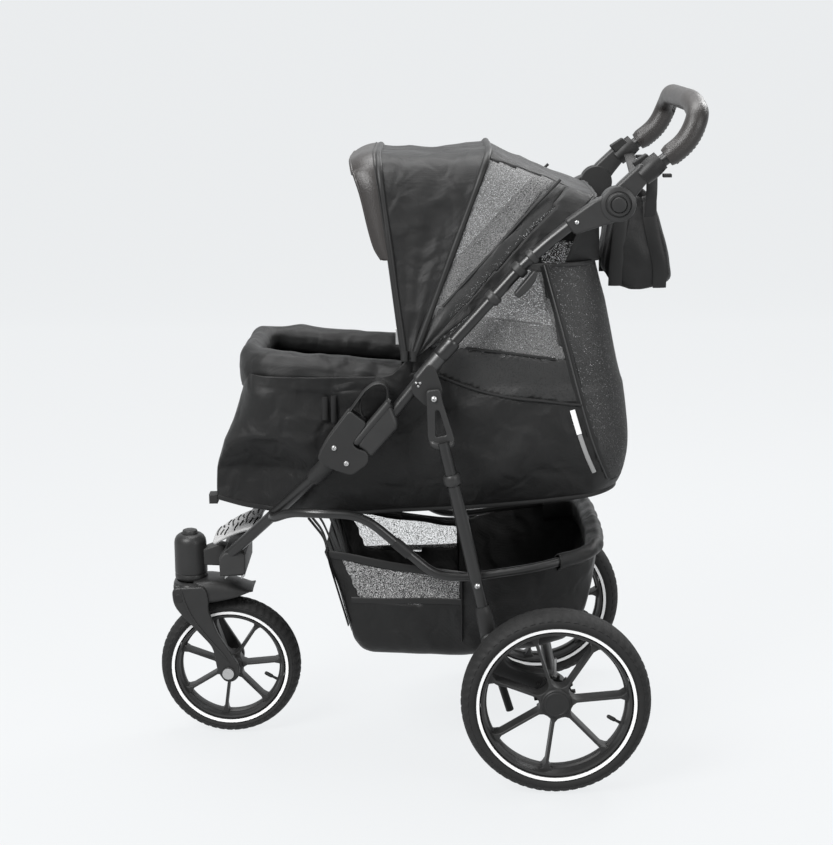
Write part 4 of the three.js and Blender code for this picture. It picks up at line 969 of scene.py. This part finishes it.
front_y = through((420, -548), (450, -553), (495, -552), (529, -541), (571, -523), (605, -511), (640, -500),
                  (700, -486))
back_y = through((430, 84), (455, 100), (472, 113), (515, 123), (557, 126), (600, 123), (641, 116), (724, 97),
                 (790, 80), (842, 69))
half_x = through((421, 104), (440, 122), (465, 137), (500, 150), (540, 157), (640, 161), (700, 164), (780, 164),
                 (845, 158))
front_r = through((421, 40), (500, 55), (700, 50))
back_r = through((421, 50), (500, 62), (640, 78), (842, 58))


def outline_at(z):
    """The shell's left half at a height, from the middle of the front to the middle of the back."""
    y0, y1, half, rf, rb = front_y(z), back_y(z), half_x(z), front_r(z), back_r(z)
    n_front, n_fc, n_side, n_bc, n_back = 12, 8, 46, 9, 11
    points = [((half - rf) * k / n_front, y0) for k in range(n_front)]
    points += [(half - rf + rf * math.sin(a), y0 + rf - rf * math.cos(a))
               for a in [math.pi / 2 * k / n_fc for k in range(n_fc)]]
    points += [(half, y0 + rf + (y1 - rb - y0 - rf) * k / n_side) for k in range(n_side)]
    points += [(half - rb + rb * math.cos(a), y1 - rb + rb * math.sin(a))
               for a in [math.pi / 2 * k / n_bc for k in range(n_bc)]]
    points += [((half - rb) * (1 - k / n_back), y1) for k in range(n_back + 1)]
    return points


hem_z = through((-553, 449), (-500, 434), (-414, 423), (-355, 421), (-249, 428), (-139, 434), (-50, 442), (49, 455),
                (110, 470))
top_z = through((-600, 668), (-262, 664), (-235, 690), (-222, 698), (-150, 738), (-22, 838), (10, 842), (120, 842))
tube_gap = through((-470, 96), (-440, 108), (-412, 124), (-385, 144), (-360, 160), (-330, 172))


def shell_point(f, v, bottom, top):
    z = bottom[f] + (top[f] - bottom[f]) * v
    x, y = outline_at(z)[f]
    swell = 5 * math.sin(math.pi * min(1, v * 1.6)) if z < 640 else 0
    wrinkle = 6.5 * fold_noise(at(x, y, z * 0.5), 130, 3) + 5.0 * fold_noise(at(x * 1.4, y + 0.3 * z, z * 0.35), 62, 7)
    pull_front = math.sin(0.052 * (y + 0.75 * z) + 1.6 * fold_noise(at(x, y, z), 160, 1))
    pull_back = math.sin(0.045 * (y - 0.9 * z) + 1.8 * fold_noise(at(x, y, z), 150, 6))
    broad = 5 * pull_front * max(0, 1 - abs(y + 380) / 190)
    broad += 4 * pull_back * max(0, 1 - abs(y + 90) / 150)
    wrinkle += (broad if z < 640 else 0) + 2.4 * crease(at(x * 0.6, y + 0.5 * z, z * 0.7), 95, 2)
    away = Vector((x, 0.7 * (y + 215), 0)).normalized()
    taper = min(1, 6 * v, 6 * (1 - v) + 0.15)
    x += (swell + wrinkle) * taper * away.x
    y += (0.4 * swell + 0.7 * wrinkle) * taper * away.y
    if z < 560 and y < -330:
        x = min(x, tube_gap(y) + max(0, z - 500) * 0.9)
    return x, y, z


reference = outline_at(655)
count_f = len(reference)
hem = [hem_z(outline_at(440)[f][1]) for f in range(count_f)]
crest = [top_z(reference[f][1]) for f in range(count_f)]
tiers = 56
half_rows = []
for fade in (0.02, 0.35, 0.75):
    half_rows.append([(x * fade, -225 + (y + 225) * (0.4 + 0.6 * fade), z + 6 * (1 - fade))
                      for x, y, z in [shell_point(f, 0, hem, crest) for f in range(count_f)]])
for tier in range(tiers + 1):
    half_rows.append([shell_point(f, tier / tiers, hem, crest) for f in range(count_f)])
shell_rows = [[at(*p) for p in row] + [at(-x, y, z) for x, y, z in reversed(row[:-1])] for row in half_rows]

piping_z = through((-260, 664), (-194, 669), (-149, 649), (-85, 629), (-21.5, 622), (34, 615), (48, 614))
zip_y = through((480, 92), (493, 87.5), (539, 68), (622, 43), (728, 15), (844, -17.5))


def window_low(y):
    return 705 - 18 * (y + 133) / 135


def is_door(x, y, z):
    return y > zip_y(z) and z > 482 and z < 836


def above_piping(x, y, z):
    return y > -225 and z > piping_z(y) and not is_door(x, y, z)


def is_window(x, y, z):
    return above_piping(x, y, z) and z > window_low(y) and y < zip_y(z) - 7 and z < 828


wall = patch("cabin_wall", shell_rows, lambda x, y, z: not is_door(x, y, z) and not above_piping(x, y, z),
             black_cloth, slot="black_cloth", replaces=["cabin_shell"])
window = patch("cabin_window", shell_rows, is_window, net_light, 0.5, slot="net_cloth")
band = patch("cabin_net_band", shell_rows, lambda x, y, z: above_piping(x, y, z) and not is_window(x, y, z), net_dark,
             0.6, slot="net_cloth")
door = patch("cabin_door", shell_rows, is_door, door_net, 0.8, slot="net_cloth")
for soft_piece, flat, area in ((wall, (1.75, 0.45), 0.494), (window, (0.34, 0.20), 0.033),
                               (band, (0.62, 0.12), 0.0383), (door, (0.42, 0.37), 0.1463)):
    folding(soft_piece)


def left_face(points, inner):
    """A function for places just outside a sewn shape's left side, found from its own points."""
    table = np.array(points)
    table = table[table[:, 0] > inner]

    def place(y, z, lift=1.5):
        near = np.argsort((table[:, 1] - y) ** 2 + (table[:, 2] - z) ** 2)[:4]
        return float(table[near, 0].mean()) + lift, y, z

    return place


on_shell = left_face([p for row in half_rows[3:] for p in row], 70)


def trim(name, points, radius, material, slot="black_cloth", **more):
    """A strip, cord or binding sewn along both sides of the cabin."""
    for end, sign in hands:
        line = [(x * sign, y, z) for x, y, z in points]
        folding(piece(f"{name}_{end}", *cord_of(line, radius, **more), material, slot=slot))


trim("side_piping", [on_shell(y, piping_z(y), 2.5) for y in (-222, -194, -149, -110, -60, -20, 20, 46)], 2.6, webbing)
trim("window_binding", [on_shell(y, window_low(y) + 2, 1.5) for y in (-138, -80, -30, 3)], 2.2, webbing)
zip_line = [on_shell(zip_y(z), z, 1.5) for z in (486, 520, 560, 622, 680, 728, 790, 838)]
trim("door_zip_tape", zip_line, 6.5, webbing, squash=0.25, out=Vector((0, 1, 0)))
trim("door_zip_teeth", [(x + 2, y, z) for x, y, z in zip_line], 1.7, black_metal, slot="steel")
for part, heights, half_width, coat in (("top", (606, 590, 566), 4.2, reflect_white),
                                        ("low", (565, 530, 499), 3.6, reflect_grey)):
    strip_line = [on_shell(zip_y(z) - 17, z, 2.5) for z in heights]
    trim(f"reflective_{part}", strip_line, half_width, coat, squash=0.3, out=Vector((0, 1, 0)))
hem_line = even(shell_rows[3], 6)
folding(piece("hem_binding", *tube(hem_line, 4.6, 10, squash=0.5, out=Vector((0, 0, 1))), webbing, slot="black_cloth"))
for number, (y, z0, z1) in enumerate(((-352, 588, 632), (-366, 592, 630))):
    trim(f"rim_tab_{number}", [(162, y, z0), (163, y, z1)], 4.4, webbing, squash=0.3, out=Vector((0, 1, 0)))
block("front_buckle", (70, -566, 436), (96, -552, 452), black_plastic, bevel=2, body="basket_rail",
      slot="hard_plastic")

# ---- rolled front rim -------------------------------------------------------------------------------
# A wide padded band sewn round the hoop of the front opening, rolled outward over the wall.
def outward_at(line, i, inside):
    """The level direction across a line at its point i, away from the place inside."""
    along = (line[min(i + 1, len(line) - 1)] - line[max(i - 1, 0)]).normalized()
    outward = Vector((along.y, -along.x, 0)).normalized()
    return -outward if outward.dot(line[i] - inside) < 0 else outward


hoop_line = even(arch([(118, -242, 661), (118, -484.8, 683)], 60), 8)
roll = [(33, -43), (38, -40), (41, -28), (41.5, -12), (37, 3), (28, 13), (15, 18), (2, 18), (-9, 13), (-15, 4),
        (-16, -8), (-12, -18), (-6, -22)]
roll = roll[:1] + [(p.x / MM, p.y / MM) for p in even([Vector((a, b, 0)) * MM for a, b in roll], 5)]
band_rows = []
for i, point in enumerate(hoop_line):
    outward = outward_at(hoop_line, i, at(0, -330, 670))
    row = []
    for o, lift in roll:
        o_here = o * (0.52 + 0.48 * abs(outward.x)) if o > 0 else o
        spot = point + outward * o_here * MM + Vector((0, 0, lift * MM))
        puff = 3.0 * fold_noise(spot, 46, 11) + 2.6 * crease(spot, 52, 5)
        spot += (outward * 0.6 + Vector((0, 0, 0.8 if lift > 0 else -0.2))) * puff * MM
        row.append(spot)
    band_rows.append(row)
rim_band = cloth_piece("rim_band", band_rows, black_cloth, 3, 2, body="cabin_rim", slot="black_cloth",
                       replaces=["cover_roll", "rim_hoop"])
piece("rim_hoop_wire", *tube(hoop_line, 5, 14), black_coat, body="cabin_rim", slot="black_tube")
rim_seam = [row[2] + (row[2] - row[5]).normalized() * 1.2 * MM for row in band_rows]
piece("rim_band_seam", *tube(even(rim_seam, 6), 1.5, 8), webbing, body="cabin_rim", slot="black_cloth")

# ---- hood -------------------------------------------------------------------------------------------
# Two sprung bows in cloth channels fan out from the brackets. Black cloth joins them; behind, a light net
# window with a dense band runs down to the side tubes under a black roof, and a padded peak leads.
front_line = even(arch([(175.5, -237, 694), (148, -277, 1012)], 62), 7)
middle_line = even(arch([(175.5, -223, 694), (150, -100, 1017)], 66), 7)
rear_line = even(arch([(174, -212, 700), (171, -130, 765), (170, -70, 822), (168, -33, 858), (164, 6, 894),
                       (152, 50, 926), (132, 68, 944)], 24), 7)


def between(first, second, across, around, sag, fold_size, seed, gather=1.0):
    """Cloth stretched from one line to another, with sag between and folds running away from the pivots."""
    a, b = even(first, 1), even(second, 1)
    rows = []
    for j in range(across + 1):
        t = j / across
        row = []
        for k in range(around + 1):
            u = k / around
            p = a[round(u * (len(a) - 1))] * (1 - t) + b[round(u * (len(b) - 1))] * t
            outward = p - at(0, -200, 700)
            outward.y *= 0.25
            outward = outward.normalized()
            foot = min(u, 1 - u) * 2
            ease = math.sin(math.pi * t)
            fold = 3.4 * fold_noise(Vector((t * fold_size, foot * 0.30, seed + (u > 0.5))), 60, seed)
            fold += 2.2 * crease(p, 80, seed + 4)
            wave = 2.6 * gather * math.sin(9 * t + 3 * foot + seed) * (1 - foot) ** 1.5
            row.append(p + outward * ((fold + wave) * ease - sag * ease * min(1, 3 * foot)) * MM)
        rows.append(row)
    return rows


front_cloth = piece("hood_front_cloth", *grid(between(front_line, middle_line, 26, 130, 5, 0.30, 2)), black_cloth,
                    sharp=70, slot="black_cloth", replaces=["hood_front_panel"])
thicken(front_cloth, 1.6)
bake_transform(finished(front_cloth), "hood_middle", "hood_front", at(0, -95, 860), at(0, -262, 860))

rear_rows = between(middle_line, rear_line, 26, 150, 3, 0.22, 9, 0.5)
roof_half = 118


def slope_low(y):
    return 782 + 1.09 * (y + 170)


def hood_light(x, y, z):
    return abs(x) > roof_half and slope_low(y) < z < 1001 - 0.33 * (y + 95) and y < 14


def hood_band(x, y, z):
    return abs(x) > roof_half and slope_low(y) - 36 < z < slope_low(y) and y < 24


for name, test, coat, slot_name, thick, flat, area in (
    ("hood_window", hood_light, net_light, "net_cloth", 0.5, (0.34, 0.20), 0.034),
    ("hood_net_band", hood_band, net_dark, "net_cloth", 0.6, (0.50, 0.10), 0.0182),
    ("hood_roof", lambda x, y, z: not hood_light(x, y, z) and not hood_band(x, y, z), black_cloth, "black_cloth", 1.6,
     (0.50, 0.32), 0.064),
):
    made = patch(name, rear_rows, test, coat, thick, 0, slot=slot_name,
                 replaces=["hood_rear_panel"] if name == "hood_roof" else [])
    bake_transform(finished(made), "upper_frame", "hood_middle", at(0, 20, 860), at(0, -120, 860))

for name, line, body, foot_y in (("front_bow", front_line, "hood_front", -237),
                                 ("middle_bow", middle_line, "hood_middle", -223)):
    piece(f"{name}_channel", *tube(line, lambda s: 5.6 + 0.5 * math.sin(41 * s), 14), webbing, body=body,
          slot="black_cloth", replaces=[name])
    for end, sign in hands:
        foot = [(175.5 * sign, foot_y, z) for z in (690, 706)]
        piece(f"{name}_foot_{end}", *tube(path(*foot), 6.4, 16), black_plastic, body=body, slot="hard_plastic")
back_seam = even(rear_line, 6)
back_seam = back_seam[round(0.30 * len(back_seam)):round(0.70 * len(back_seam))]
piece("hood_back_piping", *tube(back_seam, 3, 10), webbing, body="upper_frame", slot="black_cloth")
for end, sign in hands:
    low = [(166.5, -176, 775), (164, -100, 858), (161, -40, 923), (152, 10, 972)]
    made = piece(f"hood_window_binding_{end}", *cord_of([(x * sign, y, z) for x, y, z in low], 2.4, 20), webbing,
                 slot="black_cloth")
    at(0, 20, 860)
    at(0, -120, 860)
    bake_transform(made)
    edge_line = part_of(front_line, 0.02, 0.3, 5) if sign > 0 else part_of(front_line, 0.7, 0.98, 5)
    piece(f"hood_zip_{end}", *tube([p + Vector((0, -5, 0)) * MM for p in edge_line], 2.2, 10, squash=0.6), black_metal,
          body="hood_front", slot="steel")
    block(f"hood_zip_puller_{end}", (171 if sign > 0 else -173, -251, 716), (173 if sign > 0 else -171, -244, 742),
          zinc, bevel=0.8, body="hood_front", slot="steel")

# the cloth behind the back arch, down to the door
back_rows = []
for j in range(13):
    t = j / 12
    row = []
    for k in range(45):
        s = -1 + k / 22
        x = s * (154 + 8 * math.sin(math.pi * t))
        y = 70 + 5 * t - 58 * max(0, abs(s) - 0.72) ** 1.2 / 0.28 ** 1.2 * (0.35 + 0.65 * t)
        z = 946 - 106 * t - 26 * max(0, abs(s) - 0.72) / 0.28 * (1 - t)
        row.append(at(x, y + 3 * fold_noise((x * MM, z * MM, 0.3), 50, 8), z))
    back_rows.append(row)
hood_back = cloth_piece("hood_back", back_rows, black_cloth, 1.8, 1, body="upper_frame", slot="black_cloth",
                        replaces=["hood_back_panel"])

# ---- peak -------------------------------------------------------------------------------------------
# A stiff padded visor in synthetic leather along the front bow, with piping round its edge.
peak_line = part_of(front_line, 0.175, 0.825, 6)
peak_reach = through((0, 14), (0.03, 22), (0.08, 27), (0.18, 33), (0.27, 42), (0.5, 46))
hood_centre = at(0, -270, 860)
peak_rows = []
for i, point in enumerate(peak_line):
    s = i / (len(peak_line) - 1)
    reach_here = peak_reach(min(s, 1 - s))
    away = (point - hood_centre).normalized()
    row = []
    for k in range(7):
        t = k / 6
        row.append(point + Vector((0, -reach_here * t * MM, 0)) + away * (5 * math.sin(2.2 * t) - 10 * t * t) * MM
                   + Vector((0, 0, (2 - 9 * t) * MM if abs(point.x) < 0.14 else 0)))
    peak_rows.append(row)
peak = cloth_piece("hood_peak", peak_rows, hide, 4.5, 1, body="hood_front", slot="grip", replaces=["hood_peak"])
piece("peak_piping", *tube([row[-1] for row in peak_rows], 3.2, 12), hide, body="hood_front", slot="grip")
peak_seam = [row[1] + (row[1] - hood_centre).normalized() * 2.6 * MM for row in peak_rows]
piece("peak_seam", *tube(peak_seam, 1, 8), webbing, body="hood_front", slot="black_cloth")

# ---- basket -----------------------------------------------------------------------------------------
# A net and cloth tray hung in the bent rail under the cabin, its back wrapped over the rail's hoop.
rail_line = even(arch([(113, -457.8, 421.9), (138, -457.8, 421.9), (173, -423.8, 441.9), (195, -385.8, 445.9),
                       (195, -307.8, 441.9), (195, -190.2, 339.2), (195, -136.2, 336.2), (195, -24.2, 352.2),
                       (167, 68.8, 370.2), (97, 78.8, 374.2)], 34), 6)
piece("basket_rail", *tube(rail_line, 7.5, 24), black_coat, body="basket_rail", slot="black_tube",
      replaces=["basket_rail"])
tray_low = [(-372, 366), (-360, 330), (-342, 268), (-327, 208), (-314, 191), (-298, 185), (-220, 181), (-144, 181),
            (-84, 187), (-24, 195), (20, 208), (42, 224), (56, 262), (66, 300), (76, 345), (79, 374)]
tray_stations = even([Vector((0, a, b)) * MM for a, b in tray_low], 7)
tray_top = through((-372, 368), (-353, 368), (-250, 347), (-141, 334), (-90, 340), (-24, 354), (40, 368), (79, 377))
tray_wide = through((-372, 150), (-320, 156), (-170, 160), (-100, 186), (-20, 189), (40, 174), (66, 150), (79, 100))
tray_rows = []
for spot in tray_stations:
    y, z0 = spot.y / MM, spot.z / MM
    z1 = max(tray_top(y), z0 + 2)
    half_top = tray_wide(y)
    deep = z1 - z0
    half_low = min(half_top - 14 * min(1, deep / 100), 146)
    corner = min(26, deep * 0.4)
    straight = deep - corner
    half_section = [(half_top - (half_top - half_low) * k / 12 * straight / max(deep, 1), z1 - straight * k / 12)
                    for k in range(13)]
    joint_x = half_section[-1][0]
    half_section += [(joint_x - corner + corner * math.cos(a), z0 + corner - corner * math.sin(a))
                     for a in [math.pi / 2 * k / 6 for k in range(1, 7)]]
    half_section += [((joint_x - corner) * (1 - k / 10), z0 - 3 * math.sin(math.pi / 2 * k / 10))
                     for k in range(1, 11)]
    row = []
    for sign, part in ((1, half_section), (-1, list(reversed(half_section[:-1])))):
        for x, z in part:
            p = at(x, y, z)
            puff = 3.0 * fold_noise(p, 80, 21) + 2.2 * crease(p, 70, 4)
            row.append(at(sign * (x + puff * (1 if x > joint_x - corner else 0.2)), y, z + 0.6 * puff))
    tray_rows.append(row)


def tray_net(x, y, z):
    return abs(x) > 120 and z > 283 - 0.02 * (y + 314) and z < tray_top(y) - 9 and -352 + (372 - z) * 0.42 < y < -148


net_tray = netting("basket_net", 0.35, 0.34, 1.2)
tray_body = patch("basket_body", tray_rows, lambda x, y, z: not tray_net(x, y, z), black_cloth, 1.6, 1,
                  slot="black_cloth", replaces=["basket"])
tray_window = patch("basket_net", tray_rows, tray_net, net_tray, 0.5, 1, slot="net_cloth")
folding(tray_body, tray_keep)
folding(tray_window, tray_keep)
on_tray = left_face(np.array([[p.x, p.y - axle_y, p.z] for row in tray_rows for p in row]) / MM, 90)

hoop_sleeve = part_of(rail_line, 0.355, 0.645, 5)
sleeve_rows = []
for i, point in enumerate(hoop_sleeve):
    outward = outward_at(hoop_sleeve, i, at(0, -60, 370))
    row = []
    for k in range(15):
        a = math.radians(-115 + 20 * k)
        r = 11 + 2.6 * fold_noise(point + outward * 0.02 * math.cos(a), 26, 8) + (9 if k in (0, 14) else 0)
        row.append(point + (outward * math.cos(a) + Vector((0, 0, math.sin(a)))) * r * MM)
    row.append(point - outward * 15 * MM + Vector((0, 0, -32 * MM)))
    sleeve_rows.append(row)
sleeve = folding(cloth_piece("basket_back_wrap", sleeve_rows, black_cloth, 1.8, 2, slot="black_cloth"), tray_keep)
for end, sign in hands:
    bands = {
        "top_tape": ([on_tray(y, tray_top(y) - 4) for y in (-366, -330, -290, -250, -210, -175, -141)], 6.5),
        "low_tape": ([on_tray(y, 284) for y in (-330, -290, -250, -210, -175, -146)], 5),
        "front_tape": ([on_tray(-366 + 0.24 * (364 - z), z) for z in (362, 335, 300, 260, 222)], 6),
        "back_tape": ([on_tray(-148, z) for z in (332, 310, 284, 250, 214)], 6),
    }
    for band_name, (points, width) in bands.items():
        flat_way = None if band_name == "front_tape" else Vector((0, 0, 1))
        tape = cord_of([(x * sign, y, z) for x, y, z in points], width, squash=0.22, out=flat_way)
        folding(piece(f"basket_{band_name}_{end}", *tape, webbing, slot="black_cloth"), tray_keep)
    for number, (x, y) in enumerate(((150, -398), (104, -404), (44, -408))):
        hang = [(x * sign, y, 426), (x * sign, y + 26, 392), (x * sign, -366, 352), (x * sign * 0.96, -336, 240)]
        strap = cord_of(hang, 8, 12, squash=0.16, out=Vector((1, 0, 0)))
        folding(piece(f"basket_strap_{number}_{end}", *strap, webbing, slot="black_cloth"), tray_keep)
    wrapped = part_of(rail_line, 0.17, 0.19, 3) if sign > 0 else part_of(rail_line, 0.81, 0.83, 3)
    piece(f"rail_loop_{end}", *tube(wrapped, 9.3, 20), webbing, body="basket_rail", slot="black_cloth")

# ---- organiser bag ----------------------------------------------------------------------------------
# A soft pouch hung from the handle's arms by webbing that runs down its corners.
bag_front = through((786, 130), (792, 110), (800, 99), (822, 89), (860, 96), (900, 104), (940, 112))
bag_back = through((786, 148), (790, 172), (800, 196), (822, 194), (860, 186), (900, 176), (940, 160))
bag_rows = []
for z in (786.5, 788, 791, 796, 803, 812, 824, 838, 852, 866, 880, 892, 904, 916, 928, 938):
    y0, y1, half, r = bag_front(z), bag_back(z), 84 + 6 * math.sin((z - 786) / 45), 17
    if z < 800:
        half -= (800 - z) * 0.5
    r = min(r, (y1 - y0) * 0.4)
    ring = []
    for (cx, cy), start in (((half - r, y1 - r), 0), ((-half + r, y1 - r), 90), ((-half + r, y0 + r), 180),
                            ((half - r, y0 + r), 270)):
        for k in range(7):
            a = math.radians(start + 15 * k)
            ring.append((cx + r * math.cos(a), cy + r * math.sin(a)))
    dense = even([Vector((x, y, 0)) * MM for x, y in ring + [ring[0]]], 8)
    table = np.array([[p.x, p.y] for p in dense]) / MM
    places = np.linspace(0, len(table) - 1, 70)
    row = []
    for s in places:
        x, y = (np.interp(s, range(len(table)), table[:, k]) for k in range(2))
        p = at(x, y, z)
        sway = 3.0 * fold_noise(p, 40, 17) + 1.8 * crease(p, 48, 6)
        away = Vector((x, y - 145, 0)).normalized()
        row.append(p + away * sway * (0.3 + 0.7 * math.sin((z - 786) / 126 * math.pi)) * MM)
    bag_rows.append(row)
floor_middle = at(0, 139, 785.5)
bag_floor = [[floor_middle + (p - floor_middle) * share for p in bag_rows[0]] for share in (0.02, 0.6)]
bag_cloth = woven("bag_polyester", 0.006, 0.010, 2.2)
bag = cloth_piece("organiser_bag", bag_floor + bag_rows, bag_cloth, 1.8, 1, body="handle", slot="black_cloth",
                  replaces=["organiser_bag"])
on_handle = {"body": "handle", "slot": "black_cloth"}
for end, sign in hands:
    for number, (top_y, low_y, low_z) in enumerate(((112, 104, 800), (158, 176, 796))):
        line = [(sign * 88, top_y, 930), (sign * 91, top_y, 905), (sign * 92, (top_y + low_y) / 2, 862),
                (sign * 92, low_y, 826), (sign * 85, low_y, low_z - 6)]
        piece(f"bag_webbing_{number}_{end}", *cord_of(line, 11, 14, 12, 0.12, Vector((0, 1, 0)), 4), webbing,
              **on_handle)
    hang = [(sign * 90, 158, 905), (sign * 112, 158, 945), (sign * 160, 152, 982), (sign * 190, 150, 990)]
    piece(f"bag_strap_{end}", *cord_of(hang, 9, 14, 12, 0.14, Vector((0, 1, 0.2)), 4), webbing, **on_handle)
    wrap_at = path((sign * 192, 133, 979), (sign * 192, 161, 1004.5))
    wrap_shape = through((0, 15.6), (0.5, 17.4), (1, 16))
    piece(f"bag_wrap_{end}", *tube(even(wrap_at, 3), wrap_shape, 24), webbing, **on_handle)
    block(f"bag_tail_{end}", (sign * 192 - 9, 165, 978), (sign * 192 + 9, 178, 983), webbing, **on_handle)
    buckle_edge = [(118, 1000), (140, 1014), (150, 1004), (128, 988)]
    plate(f"bag_buckle_{end}", [buckle_edge], sign * 182 - 12, sign * 182 + 4, black_plastic, bevel=2, round_=3,
          body="handle", slot="hard_plastic")

# ---- floor mat --------------------------------------------------------------------------------------
# A quilted pad on the cabin floor: a black cover over thin wadding, stitched in squares.
def pad_point(s, t):
    x, y = 84 * s, -220 + 302 * t
    puff = 8 * (abs(math.sin(math.pi * (s + 1) * 1.5)) * abs(math.sin(math.pi * (t + 1) * 4))) ** 0.45
    rim = min(1, 7 * (1 - abs(s)), 16 * (1 - abs(t)))
    return at(x, y, 467 + (9 + puff + 1.5 * fold_noise((x * MM, y * MM, 0), 30, 3)) * max(0, rim) ** 0.5)


mat_rows = [[pad_point(-1 + k / 20, -1 + j / 44) for k in range(41)] for j in range(89)]
pad = piece("floor_mat", *grid(mat_rows), lining, sharp=75, body="basket_rail", slot="mat", replaces=["floor_mat"])
thicken(pad, 1.5)

# ---- CAD pieces that show as they are -------------------------------------------------------------
# Small turned and cut pieces whose shape is already right get their finish and a soft edge.
for node_name, coat in [
    ("rear_axle", black_coat), ("brake_ring_left", black_plastic), ("brake_ring_right", black_plastic),
    ("brake_pin_left", zinc), ("brake_pin_right", zinc), ("front_axle", zinc), ("floor_board", black_plastic),
    ("brake_pedal", black_plastic),
]:
    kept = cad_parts[node_name]
    kept.data.materials.clear()
    kept.data.materials.append(coat)
    edge = kept.modifiers.new("soft_edge", "BEVEL")
    edge.width, edge.segments, edge.limit_method = 0.5 * MM, 2, "ANGLE"

# ---- ground and backdrop ----------------------------------------------------------------------------
# A pale light-box sweep: mostly its own light, so it stays even, with a faint shadow under the tyres.
sweep_paint = Paint("studio_sweep", base_color=(0.03, 0.03, 0.03, 1), roughness=0.9, emission_strength=1.0)
sweep_paint.set(Emission_Color=(0.792, 0.808, 0.82, 1))
sweep = [(-4.2 - 1.5 * math.sin(a), 1.5 - 1.5 * math.cos(a)) for a in [math.pi / 2 * k / 16 for k in range(17)]]
sweep = [(6.0, 0.0)] + sweep + [(-5.7, 9.0)]
sweep_rows = [[(x, y, z) for y in (-14, 14)] for x, z in sweep]
backdrop = piece("studio_sweep", *grid(sweep_rows), sweep_paint.material, sharp=80)
